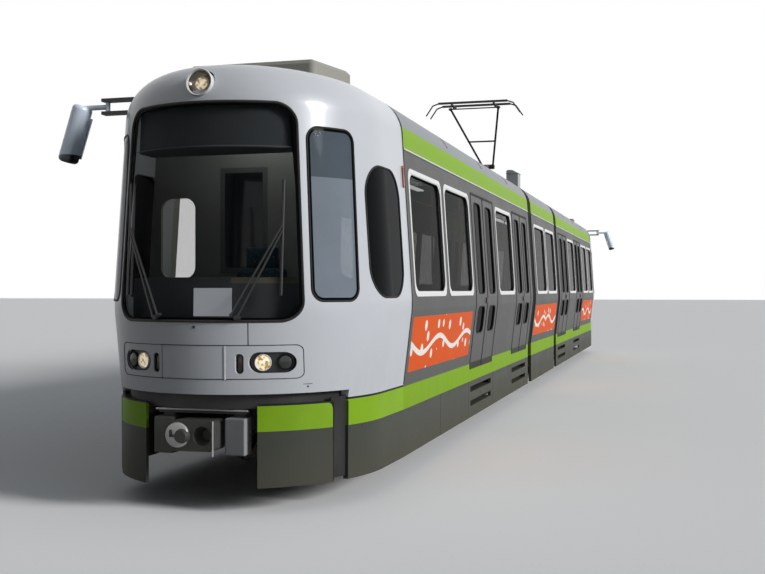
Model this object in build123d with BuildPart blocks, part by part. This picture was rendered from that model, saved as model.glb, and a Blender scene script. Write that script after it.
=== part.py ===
"""Articulated high-floor city tram: two end sections hinged to a short middle section.

Millimetres. The origin is at floor level under the middle of the tram, +X runs to the front
cab, +Y to the vehicle's left and +Z up. The floor touches the wheel flanges. Each end section
is modelled once, at the front, and the rear one is the same piece turned half round about Z.
"""

import os
from math import atan, cos, radians, sin, sqrt

from build123d import *

# Overall sizes
NOSE_X = 12750.0  # front tip of the cab
SEAM_X = 10720.0  # joint between cab and saloon
PIVOT_X = 1930.0  # articulation pivots, either side of the middle
PORTAL_GAP = 205.0  # from a pivot to the body end beside it
ROOF_Z = 3755.0
ROOF_CROWN = 75.0  # rise of the roof between its corners
ROOF_CORNER = 400.0  # radius where side and roof meet
FLOOR_Z = 860.0
FLOOR_THICK = 60.0
WALL = 60.0
FIT = 0.3  # clearance between curved or sliding neighbours

# Half width of the body at each height: columns z, half width
SIDE_PROFILE = [
    (680.0, 1230.0),
    (900.0, 1230.0),
    (1640.0, 1318.0),
    (1760.0, 1321.0),
    (3760.0, 1191.0),
]
SIDE_BASE_Z = SIDE_PROFILE[0][0]
EAVE_Z = 3200.0  # top of the side walls, foot of the roof

# Nose: how far its tip stands back from NOSE_X at each height: columns z, setback
TIP_PROFILE = [
    (920.0, 12.0),
    (1640.0, 0.0),
    (1760.0, 2.0),
    (3760.0, 110.0),
]
NOSE_DEPTH = 1430.0  # length of the rounded part of the plan
NOSE_WAIST = 0.985  # width where the rounding starts, as a share of the width at the seam
CAB_BASE_Z = 920.0
LIP_Z = 985.0  # lower edge of the nose between the corner skirts
LIP_X = 11980.0  # the lower edge is raised in front of here

# Saloon bays, from the seam towards the articulation: columns kind, start, length
END_BAYS = [
    ("window", 120.0, 1460.0),
    ("window", 1710.0, 1460.0),
    ("door", 3330.0, 1600.0),
    ("window", 5090.0, 1460.0),
    ("door", 6710.0, 1600.0),
]
# Middle section windows: start ahead of the middle of the tram, length
MIDDLE_BAYS = [
    ("window", 65.0, 1460.0),
    ("window", -1525.0, 1460.0),
]
WINDOW_Z = (1770.0, 3030.0)
WINDOW_CORNER = 110.0
FRAME_WIDTH = 45.0
FRAME_PROUD = 6.0
FRAME_DEPTH = 40.0
GLASS = 12.0
GLASS_DEPTH = 22.0
DOOR_Z = (830.0, 3050.0)
DOOR_THICK = 45.0
DOOR_PANE_WIDTH = 440.0
DOOR_PANE_Z = (1790.0, 2960.0)
DOOR_LOW_PANE_Z = (1285.0, 1625.0)
DOOR_PANE_CORNER = 90.0

# Cab glass
SCREEN_Z = (1580.0, 3380.0)
SCREEN_HALF = (838.0, 747.0)  # at the foot and at the top
SCREEN_CORNER = 170.0
SCREEN_THICK = 24.0
CORNER_PANE = ((12345.0, 855.0), (11935.0, 1135.0))  # its two ends in plan
CORNER_PANE_Z = (1742.0, 3200.0)
CORNER_PANE_CORNER = 110.0
SIDE_PANE = (10970.0, 11790.0)
SIDE_PANE_Z = (1770.0, 2940.0)
SIDE_PANE_CORNER = 280.0

# Skirts
SKIRT_Z = 220.0
SKIRT_THICK = 40.0
SKIRT_JOINT = 8.0
CORNER_SKIRT_Z = 900.0
BAY_HALF = 500.0  # coupler bay between the corner skirts
SKIRT_BREAK = (11980.0, 12130.0)  # gap between side skirt and corner skirt
STEP_SLOTS_Z = (575.0, 395.0)
STEP_SLOT_HIGH = 70.0

# Lamps
STRIP_Z = (1100.0, 1385.0)
STRIP_HALF = 860.0
TOP_LAMP_Z = 3545.0
TOP_LAMP_R = 115.0
TOP_LAMP_X = (12410.0, 12640.0)
MARKER = (10790.0, 2920.0)  # side marker lamp, X and Z
MARKER_SIZE = (44.0, 210.0)
MARKER_CORNER = 20.0
MARKER_DEEP = 14.0

# Running gear
BOGIE_X = 9000.0
AXLE_X = 950.0
WHEEL_R = 365.0
FLANGE = 27.0
WHEEL_WIDE = 110.0
BACK_TO_BACK = 1365.0
AXLE_R = 70.0
BOGIE_HALF_LENGTH = 1230.0
BOGIE_BEAM_Y = (845.0, 945.0)
BOGIE_BEAM_Z = (470.0, 600.0)
RING_R = 420.0  # slewing ring between bogie and body
BODY_RING_Z = 700.0
AXLE_Z = WHEEL_R + FLANGE

# Articulation
TURNTABLE_R = 700.0
JOINT_RING_R = 300.0
JOINT_ARM_Y = 270.0
BELLOWS_FOLDS = 7
BELLOWS_INSET = (22.0, 62.0)
BELLOWS_THICK = 30.0

# Coupler
COUPLER_PIVOT_X = 11640.0
COUPLER_Z = 650.0
COUPLER_FACE_X = 12775.0
COUPLER_BOX_Y = (235.0, 400.0)

# Mirror
MIRROR_X = 11750.0
MIRROR_PIVOT_Y = -1360.0
MIRROR_TOP = (-1620.0, 3550.0)
MIRROR_FOOT = (-1790.0, 3020.0)
MIRROR_R = 82.0

# Pantograph
PAN_BASE = (450.0, 4000.0)
PAN_LOWER = 1350.0
PAN_LOWER_RISE = 15.0
PAN_UPPER = 1750.0
PAN_UPPER_RISE = 33.0
PAN_HEAD_HALF = 660.0
PAN_HORN_HALF = 900.0
PAN_STRIP_GAP = 360.0

# Underframe
TURNTABLE_GAP = 4.0
JOINT_LOWER_Z = (600.0, 649.7)  # joint ring of the middle section
JOINT_UPPER_Z = (650.0, 700.0)  # joint ring of an end section, resting on it
BEAM_Z = 700.0
BEAM_SETBACK = 60.0  # from the turntable's rim to the sole bars' ends
SOLE_Y = (370.0, 490.0)
BOLSTER_X = 260.0
BOLSTER_Y = 900.0
BOLSTER_Z = (440.0, 600.0)
APRON_INSET = 75.0
APRON_Z = 1100.0
COUPLER_POCKET = 250.0
COUPLER_LUG = 40.0
COUPLER_PIN_R = 30.0
PIVOT_GAP = 10.0
PILLAR = 120.0
STEP_INSET = 60.0
STEP_THICK = 12.0
STEP_DEEP = 200.0
JACK_PAD = (7400.0, 430.0)  # jacking pads under the sole bars, X and Y
JACK_PAD_SIZE = (160.0, 110.0, 20.0)
# Equipment cases under the floor of an end section: columns x limits, y limits, foot
EQUIPMENT = [
    ((3400.0, 3950.0), (-850.0, 850.0), 420.0),
    ((4200.0, 5600.0), (-1080.0, 1080.0), 330.0),
    ((6000.0, 7200.0), (-850.0, 850.0), 380.0),
]

# Bogie details
RIM_DEEP = 70.0
WEB = (0.4, 0.7)  # faces of the web as shares of the wheel's width
WEB_TAPER = 5.0
FLANGE_ROUND = 8.0
FLANGE_CREST = 20.0  # outer end of the flange's crest from the wheel's inner face
FLANGE_ROOT = 32.0
TREAD_RISE = (1.0, -4.0)  # at the flange's root and at the outer face
HUB_R = 110.0
HUB_PROUD = 18.0
JOURNAL_STEP = 5.0
JOURNAL_R = 60.0
AXLE_END_Y = 925.0
AXLE_BOX = 110.0
AXLE_BOX_Y = 965.0
SPRING_Y = 790.0
SPRING_R = 105.0
BRAKE_Y = (705.0, 785.0)
BRAKE_Z = (60.0, 150.0)
BRAKE_HALF = 430.0
HANGER_X = 340.0
HANGER_WIDE = 25.0
MOTOR_Z = 410.0
MOTOR_R = 180.0
GEAR_HALF = 150.0
BELLOWS_BASE_Z = 715.0

# Coupler details
COUPLER_EYE = 80.0
COUPLER_BAR_R = 55.0
COUPLER_HEAD = 260.0
COUPLER_PLATE = (190.0, 125.0)
COUPLER_CONE_Y = 85.0
COUPLER_CONE_R = 68.0
COUPLER_CONE_LONG = 110.0
COUPLER_CORNER = 40.0
COUPLER_BEVEL = 30.0
COUPLER_RIM = 12.0
COUPLER_TAPER = 18.0
COUPLER_ARM = 32.0
COUPLER_BOX_Z = (490.0, 780.0)
COUPLER_TOP_Z = (815.0, 850.0)
COUPLER_TOP_HALF = 395.0
COUPLER_BAY_X = 12430.0  # recess in the deck over the coupler's head
COUPLER_BAY_Y = 485.0

# Mirror and wiper details
MIRROR_PIN_R = 22.0
MIRROR_PIN_HIGH = 45.0
MIRROR_ARM_R = 24.0
MIRROR_BRACKET = 75.0
MIRROR_PLATE = 30.0
MIRROR_LONG = 2.6  # length of the housing's slot section over its radius
WIPER_FOOT = (360.0, 1610.0)
WIPER_TIP = (670.0, 2330.0)
WIPER_TWIN = 45.0
WIPER_PROUD = 45.0
WIPER_R = 9.0
WIPER_POST_R = 14.4
WIPER_ROOT = -20.0  # foot of the wiper's post from the nose's outer face
WIPER_BLADE_Z = (1790.0, 2740.0)

# Pantograph details
PAN_RAIL_Z = 3900.0
PAN_RAIL = 60.0
PAN_FOOT_X = 1100.0
PAN_FOOT_Y = 480.0
PAN_SHEDS = 3
PAN_SHED_PITCH = 45.0
PAN_SHED = (52.0, 14.0, 12.0)  # radius, thickness and height of the lowest over the roof
PAN_POST_R = 34.0
PAN_EAR = 45.0
PAN_EAR_Y = (330.0, 370.0)
PAN_SHAFT_R = 22.0
PAN_TUBE_R = 42.0
PAN_HUB_R = 48.0
PAN_PLAY = 8.0
PAN_KNEE_Y = (70.0, 130.0)
PAN_SLIM_R = 20.0
PAN_HEAD_HUB = (28.0, 25.0)  # radius and half length
PAN_TIE_AT = 0.45  # place of the tie along the upper arm
PAN_TIE_R = 16.0
PAN_HEAD_Y = 460.0
PAN_PIN_R = 12.0
PAN_STRIP = (50.0, 36.0)
PAN_STRIP_RISE = 70.0
PAN_SHAFT_OVERHANG = 40.0
PAN_SPAR_INSET = 60.0
PAN_SPAR = (15.0, 30.0)  # half width and height
PAN_HORN_R = 13.0
PAN_HORN_ROOT = 5.0
PAN_HORN_BEND = (110.0, 40.0)  # past the strip's end and below it
PAN_HORN_DROP = 230.0

# Cab furniture
DESK_INSET = 165.0
DISPLAY_Z = 3010.0
DISPLAY_X = 12120.0
DISPLAY_HALF = 700.0
DRIVER_X = 11560.0
DRIVER_Z = 1330.0
DRIVER_POST_R = 90.0
DRIVER_SEAT = (240.0, 100.0)  # half width and thickness of the cushion
DRIVER_BACK = (230.0, 80.0, 700.0)  # half width, thickness and height of the backrest
DRIVER_REST = (140.0, 70.0, 200.0)  # the same of the headrest over it
PARTITION_THICK = 40.0
PARTITION_PANE_Y = (735.0, 1100.0)
PARTITION_PANE_Z = (1950.0, 2730.0)

# Roof gear and furniture
ROOF_BOX_ENDS = ((11580.0, 620.0), (10890.0, 780.0))  # X and half width, front and rear
ROOF_BOX_Z = 3930.0
ROOF_BOX_CORNER = 60.0
ROOF_BOX_BEVEL = 40.0
DRIVE_X = (290.0, 600.0)  # housing of the pantograph's drive on the middle roof
DRIVE_Y = (610.0, 830.0)
DRIVE_Z = 4110.0
DRIVE_CORNER = 30.0
DRIVE_SLOPE = (60.0, 110.0)  # its outer top edge: down the side and along the top
PARTITION_X = 11150.0
DESK_Z = 1940.0
DESK_X = 11900.0
SEAT_Y = (430.0, 1130.0)
SEAT_Z = FLOOR_Z + 430.0
SEAT_BACK_Z = 1900.0
# Side view of a seat facing the front: columns distance ahead of its back, height over the cushion
SEAT_OUTLINE = [
    (0.0, 0.0),
    (-45.0, SEAT_BACK_Z - SEAT_Z),
    (-90.0, SEAT_BACK_Z - SEAT_Z),
    (-60.0, -110.0),
    (90.0, -110.0),
    (110.0, FLOOR_Z - SEAT_Z),
    (290.0, FLOOR_Z - SEAT_Z),
    (310.0, -110.0),
    (440.0, -85.0),
    (440.0, -10.0),
]
# Seat rows of an end section: backrest position from the seam, way the seat faces
END_SEATS = [
    (180.0, -1),
    (1560.0, 1),
    (1760.0, -1),
    (3120.0, 1),
    (5140.0, -1),
    (6500.0, 1),
]
MIDDLE_SEATS = [
    (1480.0, -1),
    (60.0, 1),
    (-60.0, -1),
    (-1480.0, 1),
]


def between(table, height):
    """Value of a two-column table at one height, on straight lines between its rows."""
    rows = list(zip(table, table[1:]))
    for (z0, v0), (z1, v1) in rows:
        if height <= z1:
            break
    return v0 + (v1 - v0) * (height - z0) / (z1 - z0)


def half_width(height):
    return between(SIDE_PROFILE, height)


def tip_x(height):
    return NOSE_X - between(TIP_PROFILE, height)


SIDE_LEAN = atan((half_width(WINDOW_Z[0]) - half_width(WINDOW_Z[1])) / (WINDOW_Z[1] - WINDOW_Z[0]))
BODY_END_X = PIVOT_X + PORTAL_GAP
SADDLE_X = PIVOT_X - PORTAL_GAP


def roof_height(y):
    """Height of the roof's outer face over a point y from the middle."""
    edge = half_width(ROOF_Z - ROOF_CROWN)
    radius = (edge**2 + ROOF_CROWN**2) / (2 * ROOF_CROWN)
    return ROOF_Z - radius + sqrt(radius**2 - y**2)


def under_crown(inset):
    """Everything under the arched roof line, wider than the body."""
    reach = 1.2 * half_width(ROOF_Z)
    edge = roof_height(reach) - inset
    with BuildSketch() as below:
        with BuildLine():
            roof = ThreePointArc((-reach, edge), (0, ROOF_Z - inset), (reach, edge))
            Polyline(roof @ 1, (reach, 0), (-reach, 0), roof @ 0)
        make_face()
    return below.sketch


def body_section(inset, base):
    """Cross-section of the saloon body from the height base up."""
    heights = [base] + [z for z, w in SIDE_PROFILE if z > base]
    left = [(half_width(z) - inset, z) for z in heights]
    right = [(-y, z) for y, z in reversed(left)]
    with BuildSketch() as section:
        Polygon(*left, *right, align=None)
        add(under_crown(inset), mode=Mode.INTERSECT)
        fillet(section.vertices().sort_by(Axis.Y)[-2:], radius=ROOF_CORNER - inset)
    return section.sketch


def roof_form(rear, front):
    """Solid under the saloon roof's outer face between two places along the body."""
    with BuildPart(mode=Mode.PRIVATE) as form:
        with BuildSketch(Plane.YZ.offset(rear)):
            add(body_section(0, EAVE_Z))
        extrude(amount=front - rear)
    return form.part


def side_plane(x, z, depth=0.0):
    """Plane on the left side's outer face, facing out, its second axis up the side."""
    return Plane(
        origin=(x, half_width(z), z),
        x_dir=(-1, 0, 0),
        z_dir=(0, cos(SIDE_LEAN), sin(SIDE_LEAN)),
    ).offset(-depth)


def write(name, piece):
    piece.label = name
    export_step(piece, "parts/" + name + ".step")


def write_ends(name, piece):
    """Write a front piece, and the same piece turned half round for the rear section."""
    write("front_" + name, piece)
    with BuildPart() as turned:
        with Locations(Location((0, 0, 0), (0, 0, 180))):
            add(piece)
    write("rear_" + name, turned.part)


def mirrored(piece):
    """A left-hand piece with its right-hand twin."""
    with BuildPart() as pair:
        add(piece)
        mirror(piece, about=Plane.XZ)
    return pair.part


def bay_span(section, start, length):
    """Rear and front X of a bay, which the end table counts back from the seam."""
    if section == "end":
        return SEAM_X - start - length, SEAM_X - start
    return start, start + length


def bays_of(section, kind):
    table = END_BAYS if section == "end" else MIDDLE_BAYS
    return [bay_span(section, start, length) for k, start, length in table if k == kind]


def section_ends(section):
    return (BODY_END_X, SEAM_X) if section == "end" else (-SADDLE_X, SADDLE_X)


# Body shells


def wall_strip(outer, inner, low, high):
    """Section of the left wall between two insets and two heights."""
    heights = [low] + [z for z, w in SIDE_PROFILE if low < z < high] + [high]
    outside = [(half_width(z) - outer, z) for z in heights]
    inside = [(half_width(z) - inner, z) for z in reversed(heights)]
    with BuildSketch() as strip:
        Polygon(*outside, *inside, align=None)
    return strip.sketch


def side_walls(section):
    rear, front = section_ends(section)
    with BuildPart() as wall:
        with BuildSketch(Plane.YZ.offset(rear)):
            add(wall_strip(0, WALL, SIDE_BASE_Z, EAVE_Z))
        extrude(amount=front - rear)
        for x0, x1 in bays_of(section, "window"):
            middle = (WINDOW_Z[0] + WINDOW_Z[1]) / 2
            with BuildSketch(side_plane((x0 + x1) / 2, middle)):
                RectangleRounded(x1 - x0, window_height(), WINDOW_CORNER)
            extrude(amount=2 * WALL, both=True, mode=Mode.SUBTRACT)
        for x0, x1 in bays_of(section, "door"):
            with BuildSketch(Plane.XZ.offset(-half_width(SIDE_BASE_Z) + 2 * WALL)):
                with Locations(((x0 + x1) / 2, (DOOR_Z[0] + DOOR_Z[1]) / 2)):
                    Rectangle(x1 - x0, DOOR_Z[1] - DOOR_Z[0])
            extrude(amount=-5 * WALL, mode=Mode.SUBTRACT)
    return mirrored(wall.part)


def window_height():
    return (WINDOW_Z[1] - WINDOW_Z[0]) / cos(SIDE_LEAN)


def roof_shell(section):
    rear, front = section_ends(section)
    with BuildPart() as roof:
        with BuildSketch(Plane.YZ.offset(rear)):
            add(body_section(0, EAVE_Z))
            add(body_section(WALL, EAVE_Z), mode=Mode.SUBTRACT)
        extrude(amount=front - rear)
    return roof.part


def window_frames(section):
    middle = (WINDOW_Z[0] + WINDOW_Z[1]) / 2
    with BuildPart() as frames:
        for x0, x1 in bays_of(section, "window"):
            with BuildSketch(side_plane((x0 + x1) / 2, middle, FRAME_DEPTH)):
                RectangleRounded(x1 - x0 - 2 * FIT, window_height() - 2 * FIT, WINDOW_CORNER - FIT)
                RectangleRounded(
                    x1 - x0 - 2 * FRAME_WIDTH,
                    window_height() - 2 * FRAME_WIDTH,
                    WINDOW_CORNER - FRAME_WIDTH,
                    mode=Mode.SUBTRACT,
                )
            extrude(amount=FRAME_DEPTH + FRAME_PROUD)
    return mirrored(frames.part)


def leaf_spans(section):
    """Rear and front X of every door leaf, two to a doorway."""
    spans = []
    for x0, x1 in bays_of(section, "door"):
        middle = (x0 + x1) / 2
        spans.append((x0 + FIT, middle - FIT))
        spans.append((middle + FIT, x1 - FIT))
    return spans


def door_panes():
    """Heights of the panes of a leaf with their corner radius."""
    return [(DOOR_PANE_Z, DOOR_PANE_CORNER), (DOOR_LOW_PANE_Z, DOOR_PANE_CORNER)]


def doors():
    with BuildPart() as leaves:
        for x0, x1 in leaf_spans("end"):
            with BuildSketch(Plane.YZ.offset(x0)):
                add(wall_strip(0, DOOR_THICK, DOOR_Z[0] + FIT, DOOR_Z[1] - FIT))
            extrude(amount=x1 - x0)
        for x0, x1 in leaf_spans("end"):
            for (low, high), corner in door_panes():
                with BuildSketch(Plane.XZ.offset(-half_width(SIDE_BASE_Z) + 2 * WALL)):
                    with Locations(((x0 + x1) / 2, (low + high) / 2)):
                        RectangleRounded(DOOR_PANE_WIDTH, high - low, corner)
                extrude(amount=-5 * WALL, mode=Mode.SUBTRACT)
    return mirrored(leaves.part)


def door_pane(leaf, low, high, corner):
    """Pane of one door leaf, bent with the side."""
    x0, x1 = leaf
    with BuildPart(mode=Mode.PRIVATE) as pane:
        with BuildSketch(Plane.YZ.offset(x0)):
            add(wall_strip(GLASS, 2 * GLASS, low, high))
        extrude(amount=x1 - x0)
        with BuildSketch(Plane.XZ.offset(-half_width(SIDE_BASE_Z) + 2 * WALL)):
            with Locations(((x0 + x1) / 2, (low + high) / 2)):
                RectangleRounded(DOOR_PANE_WIDTH - 2 * FIT, high - low - 2 * FIT, corner - FIT)
        extrude(amount=-5 * WALL, mode=Mode.INTERSECT)
    return pane.part


def saloon_glass(section):
    middle = (WINDOW_Z[0] + WINDOW_Z[1]) / 2
    with BuildPart() as panes:
        for x0, x1 in bays_of(section, "window"):
            with BuildSketch(side_plane((x0 + x1) / 2, middle, GLASS_DEPTH + GLASS)):
                RectangleRounded(
                    x1 - x0 - 2 * FRAME_WIDTH - 2 * FIT,
                    window_height() - 2 * FRAME_WIDTH - 2 * FIT,
                    WINDOW_CORNER - FRAME_WIDTH - FIT,
                )
            extrude(amount=GLASS)
        for leaf in leaf_spans(section):
            for (low, high), corner in door_panes():
                add(door_pane(leaf, low, high, corner))
    return mirrored(panes.part)


# Cab


def cab_plan(height, inset):
    """Plan of the cab at one height: a straight back, two flanks and half an ellipse."""
    width = half_width(height) - inset
    shoulder = half_width(height) * NOSE_WAIST - inset
    start = NOSE_X - NOSE_DEPTH
    depth = tip_x(max(height, CAB_BASE_Z)) - inset - start
    with BuildSketch() as plan:
        with BuildLine():
            flank = Line((SEAM_X, width), (start, shoulder))
            EllipticalCenterArc((start, 0), depth, shoulder, start_angle=-90, arc_size=180)
            Polyline((start, -shoulder), (SEAM_X, -width), flank @ 0)
        make_face()
    return plan.sketch


def cab_form(inset, base=CAB_BASE_Z):
    """Solid form of the cab, each face set in by the same amount."""
    levels = [base] + [z for z, w in TIP_PROFILE if z > base]
    with BuildPart() as form:
        for height in levels:
            with BuildSketch(Plane.XY.offset(height)):
                add(cab_plan(height, inset))
        loft(ruled=True)
        with BuildSketch(Plane.YZ.offset(SEAM_X)):
            add(under_crown(inset))
        extrude(amount=NOSE_X - SEAM_X, mode=Mode.INTERSECT)
        top = form.faces().sort_by(Axis.Z)[-1]
        rim = top.edges().sort_by(Axis.X)[1:]
        fillet(rim, radius=ROOF_CORNER - inset)
    return form.part


def screen_cutter(grow):
    """Prism along X through the nose in the outline of the windscreen."""
    low, high = SCREEN_Z[0] - grow, SCREEN_Z[1] + grow
    foot, head = SCREEN_HALF[0] + grow, SCREEN_HALF[1] + grow
    with BuildPart() as cutter:
        with BuildSketch(Plane.YZ.offset(NOSE_X - NOSE_DEPTH)) as outline:
            Polygon((-foot, low), (foot, low), (head, high), (-head, high), align=None)
            fillet(outline.vertices(), radius=SCREEN_CORNER)
        extrude(amount=NOSE_DEPTH)
    return cutter.part


def strip_cutter(grow):
    """Prism along X through the nose in the outline of the lamp strip."""
    high = STRIP_Z[1] - STRIP_Z[0] + 2 * grow
    with BuildPart() as cutter:
        with BuildSketch(Plane.YZ.offset(NOSE_X - NOSE_DEPTH)):
            with Locations((0, (STRIP_Z[0] + STRIP_Z[1]) / 2)):
                RectangleRounded(2 * (STRIP_HALF + grow), high, high / 2 - 1)
        extrude(amount=NOSE_DEPTH)
    return cutter.part


def side_pane_cutters(grow):
    """Prisms through both cab flanks in the outlines of the corner and side panes."""
    (xa, ya), (xb, yb) = CORNER_PANE
    along = Vector(xb - xa, yb - ya, 0)
    corner_z = (CORNER_PANE_Z[0] + CORNER_PANE_Z[1]) / 2
    corner_plane = Plane(
        origin=((xa + xb) / 2, (ya + yb) / 2, corner_z),
        x_dir=along.normalized(),
        z_dir=along.rotate(Axis.Z, -90).normalized(),
    )
    with BuildPart() as cutters:
        with BuildSketch(corner_plane):
            RectangleRounded(
                along.length + 2 * grow,
                CORNER_PANE_Z[1] - CORNER_PANE_Z[0] + 2 * grow,
                CORNER_PANE_CORNER + grow,
            )
        extrude(amount=3 * WALL, both=True)
        with BuildSketch(Plane.XZ.offset(-half_width(SIDE_BASE_Z) + 3 * WALL)):
            with Locations(((SIDE_PANE[0] + SIDE_PANE[1]) / 2, (SIDE_PANE_Z[0] + SIDE_PANE_Z[1]) / 2)):
                RectangleRounded(
                    SIDE_PANE[1] - SIDE_PANE[0] + 2 * grow,
                    SIDE_PANE_Z[1] - SIDE_PANE_Z[0] + 2 * grow,
                    SIDE_PANE_CORNER + grow,
                )
        extrude(amount=-6 * WALL)
        mirror(about=Plane.XZ)
    return cutters.part


def top_lamp_barrel(grow):
    with BuildPart() as barrel:
        with BuildSketch(Plane.YZ.offset(TOP_LAMP_X[0] - grow)):
            with Locations((0, TOP_LAMP_Z)):
                Circle(TOP_LAMP_R + grow)
        extrude(amount=TOP_LAMP_X[1] - TOP_LAMP_X[0] + 2 * grow)
    return barrel.part


def cab_shell(outer, inner):
    with BuildPart() as shell:
        add(outer)
        add(inner, mode=Mode.SUBTRACT)
        with BuildSketch(Plane.XY.offset(CAB_BASE_Z)):
            with Locations((LIP_X, 0)):
                Rectangle(NOSE_X - LIP_X, 3 * NOSE_DEPTH, align=(Align.MIN, Align.CENTER))
        extrude(amount=LIP_Z - CAB_BASE_Z, mode=Mode.SUBTRACT)
        add(screen_cutter(FIT), mode=Mode.SUBTRACT)
        add(strip_cutter(FIT), mode=Mode.SUBTRACT)
        add(side_pane_cutters(FIT), mode=Mode.SUBTRACT)
        add(top_lamp_barrel(FIT), mode=Mode.SUBTRACT)
    return shell.part


def cab_glass(outer, backing):
    with BuildPart() as panes:
        add(screen_cutter(0))
        add(side_pane_cutters(0))
        add(outer, mode=Mode.INTERSECT)
        add(backing, mode=Mode.SUBTRACT)
    return panes.part


def side_marker(outer):
    """Left side marker lamp, its back cut to the tapered flank."""
    x, z = MARKER
    taper = (1 - NOSE_WAIST) * (x - SEAM_X) / (NOSE_X - NOSE_DEPTH - SEAM_X)
    with BuildPart(mode=Mode.PRIVATE) as marker:
        with BuildSketch(side_plane(x, z, taper * half_width(z) + MARKER_DEEP)):
            RectangleRounded(*MARKER_SIZE, MARKER_CORNER)
        extrude(amount=2 * MARKER_DEEP)
        add(outer, mode=Mode.SUBTRACT)
    return marker.part


def lamps(outer, backing):
    with BuildPart() as lenses:
        add(strip_cutter(0))
        add(outer, mode=Mode.INTERSECT)
        add(backing, mode=Mode.SUBTRACT)
        add(top_lamp_barrel(0))
        add(mirrored(side_marker(outer)))
    return lenses.part


# Floor, underframe and skirts


def block(x, y, z):
    """Box between pairs of limits along each axis, added to the part being built."""
    with BuildPart(mode=Mode.PRIVATE) as box:
        with BuildSketch(Plane.XY.offset(z[0])):
            with Locations(((x[0] + x[1]) / 2, (y[0] + y[1]) / 2)):
                Rectangle(x[1] - x[0], y[1] - y[0])
        extrude(amount=z[1] - z[0])
    return box.part


def disc(x, y, z, radius):
    """Upright cylinder between two heights."""
    with BuildPart(mode=Mode.PRIVATE) as drum:
        with BuildSketch(Plane.XY.offset(z[0])):
            with Locations((x, y)):
                Circle(radius)
        extrude(amount=z[1] - z[0])
    return drum.part


def rod(start, end, radius):
    """Round bar between two points."""
    run = Vector(*end) - Vector(*start)
    with BuildPart(mode=Mode.PRIVATE) as bar:
        with BuildSketch(Plane(origin=start, z_dir=run.normalized())):
            Circle(radius)
        extrude(amount=run.length)
    return bar.part


def coupler_fork():
    """Pocket, two lugs and the pin that hold the drawbar's eye."""
    x = COUPLER_PIVOT_X
    low, high = COUPLER_Z - COUPLER_EYE - FIT, COUPLER_Z + COUPLER_EYE + FIT
    half = (-COUPLER_EYE, COUPLER_EYE)
    back = (x - COUPLER_POCKET, x - COUPLER_EYE - PIVOT_GAP)
    lug = (back[1] - COUPLER_PIN_R, x + COUPLER_PIN_R)
    top = FLOOR_Z - FLOOR_THICK - FIT
    with BuildPart(mode=Mode.PRIVATE) as fork:
        add(block(back, (-COUPLER_POCKET, COUPLER_POCKET), (low - COUPLER_LUG, top)))
        add(block(lug, half, (high, top)))
        add(block(lug, half, (low - COUPLER_LUG, low)))
        add(disc(x, 0, (low, high), COUPLER_PIN_R))
    return fork.part


def end_floor():
    """Deck of an end section, cut round the turntable and over the coupler's head."""
    wall_inside = half_width(SIDE_BASE_Z) - WALL
    deck = (FLOOR_Z - FLOOR_THICK, FLOOR_Z)
    with BuildPart() as floor:
        with BuildSketch(Plane.XY.offset(deck[0])):
            add(cab_plan(SIDE_BASE_Z, SKIRT_THICK + FIT))
            with Locations(((BODY_END_X + SEAM_X) / 2, 0)):
                Rectangle(SEAM_X - BODY_END_X, 2 * wall_inside)
        extrude(amount=FLOOR_THICK)
        add(disc(PIVOT_X, 0, deck, TURNTABLE_R + TURNTABLE_GAP), mode=Mode.SUBTRACT)
        add(block((COUPLER_BAY_X, NOSE_X), (-COUPLER_BAY_Y, COUPLER_BAY_Y), deck), mode=Mode.SUBTRACT)
    return floor.part


def end_underframe():
    """Under the deck: joint arm, sole bars, bolster, coupler pocket and equipment cases."""
    top = FLOOR_Z - FLOOR_THICK - FIT
    tie = (PIVOT_X + TURNTABLE_R + BEAM_SETBACK, PIVOT_X + 2 * TURNTABLE_R)
    bolster = (BOGIE_X - BOLSTER_X, BOGIE_X + BOLSTER_X)
    rear_bars = (tie[0], bolster[0] - FIT)
    front_bars = (bolster[1] + FIT, COUPLER_PIVOT_X - COUPLER_POCKET / 2)
    pad_x, pad_y = JACK_PAD
    long, wide, high = JACK_PAD_SIZE
    with BuildPart() as frame:
        add(disc(PIVOT_X, 0, JOINT_UPPER_Z, JOINT_RING_R))
        add(block((PIVOT_X, tie[1]), (-JOINT_ARM_Y, JOINT_ARM_Y), JOINT_UPPER_Z))
        add(block(tie, (-SOLE_Y[1], SOLE_Y[1]), (JOINT_UPPER_Z[0], top)))
        for side in (-1, 1):
            bar_y = sorted((side * SOLE_Y[0], side * SOLE_Y[1]))
            add(block(rear_bars, bar_y, (BEAM_Z, top)))
            add(block(front_bars, bar_y, (BEAM_Z, top)))
            pad = (side * pad_y - wide / 2, side * pad_y + wide / 2)
            add(block((pad_x - long / 2, pad_x + long / 2), pad, (BEAM_Z - high, BEAM_Z)))
        add(block(bolster, (-BOLSTER_Y, BOLSTER_Y), (BODY_RING_Z, top)))
        add(disc(BOGIE_X, 0, (BODY_RING_Z, top), RING_R))
        add(coupler_fork())
        for x, y, low in EQUIPMENT:
            add(block(x, y, (low, BEAM_Z - FIT)))
    return frame.part


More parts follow.
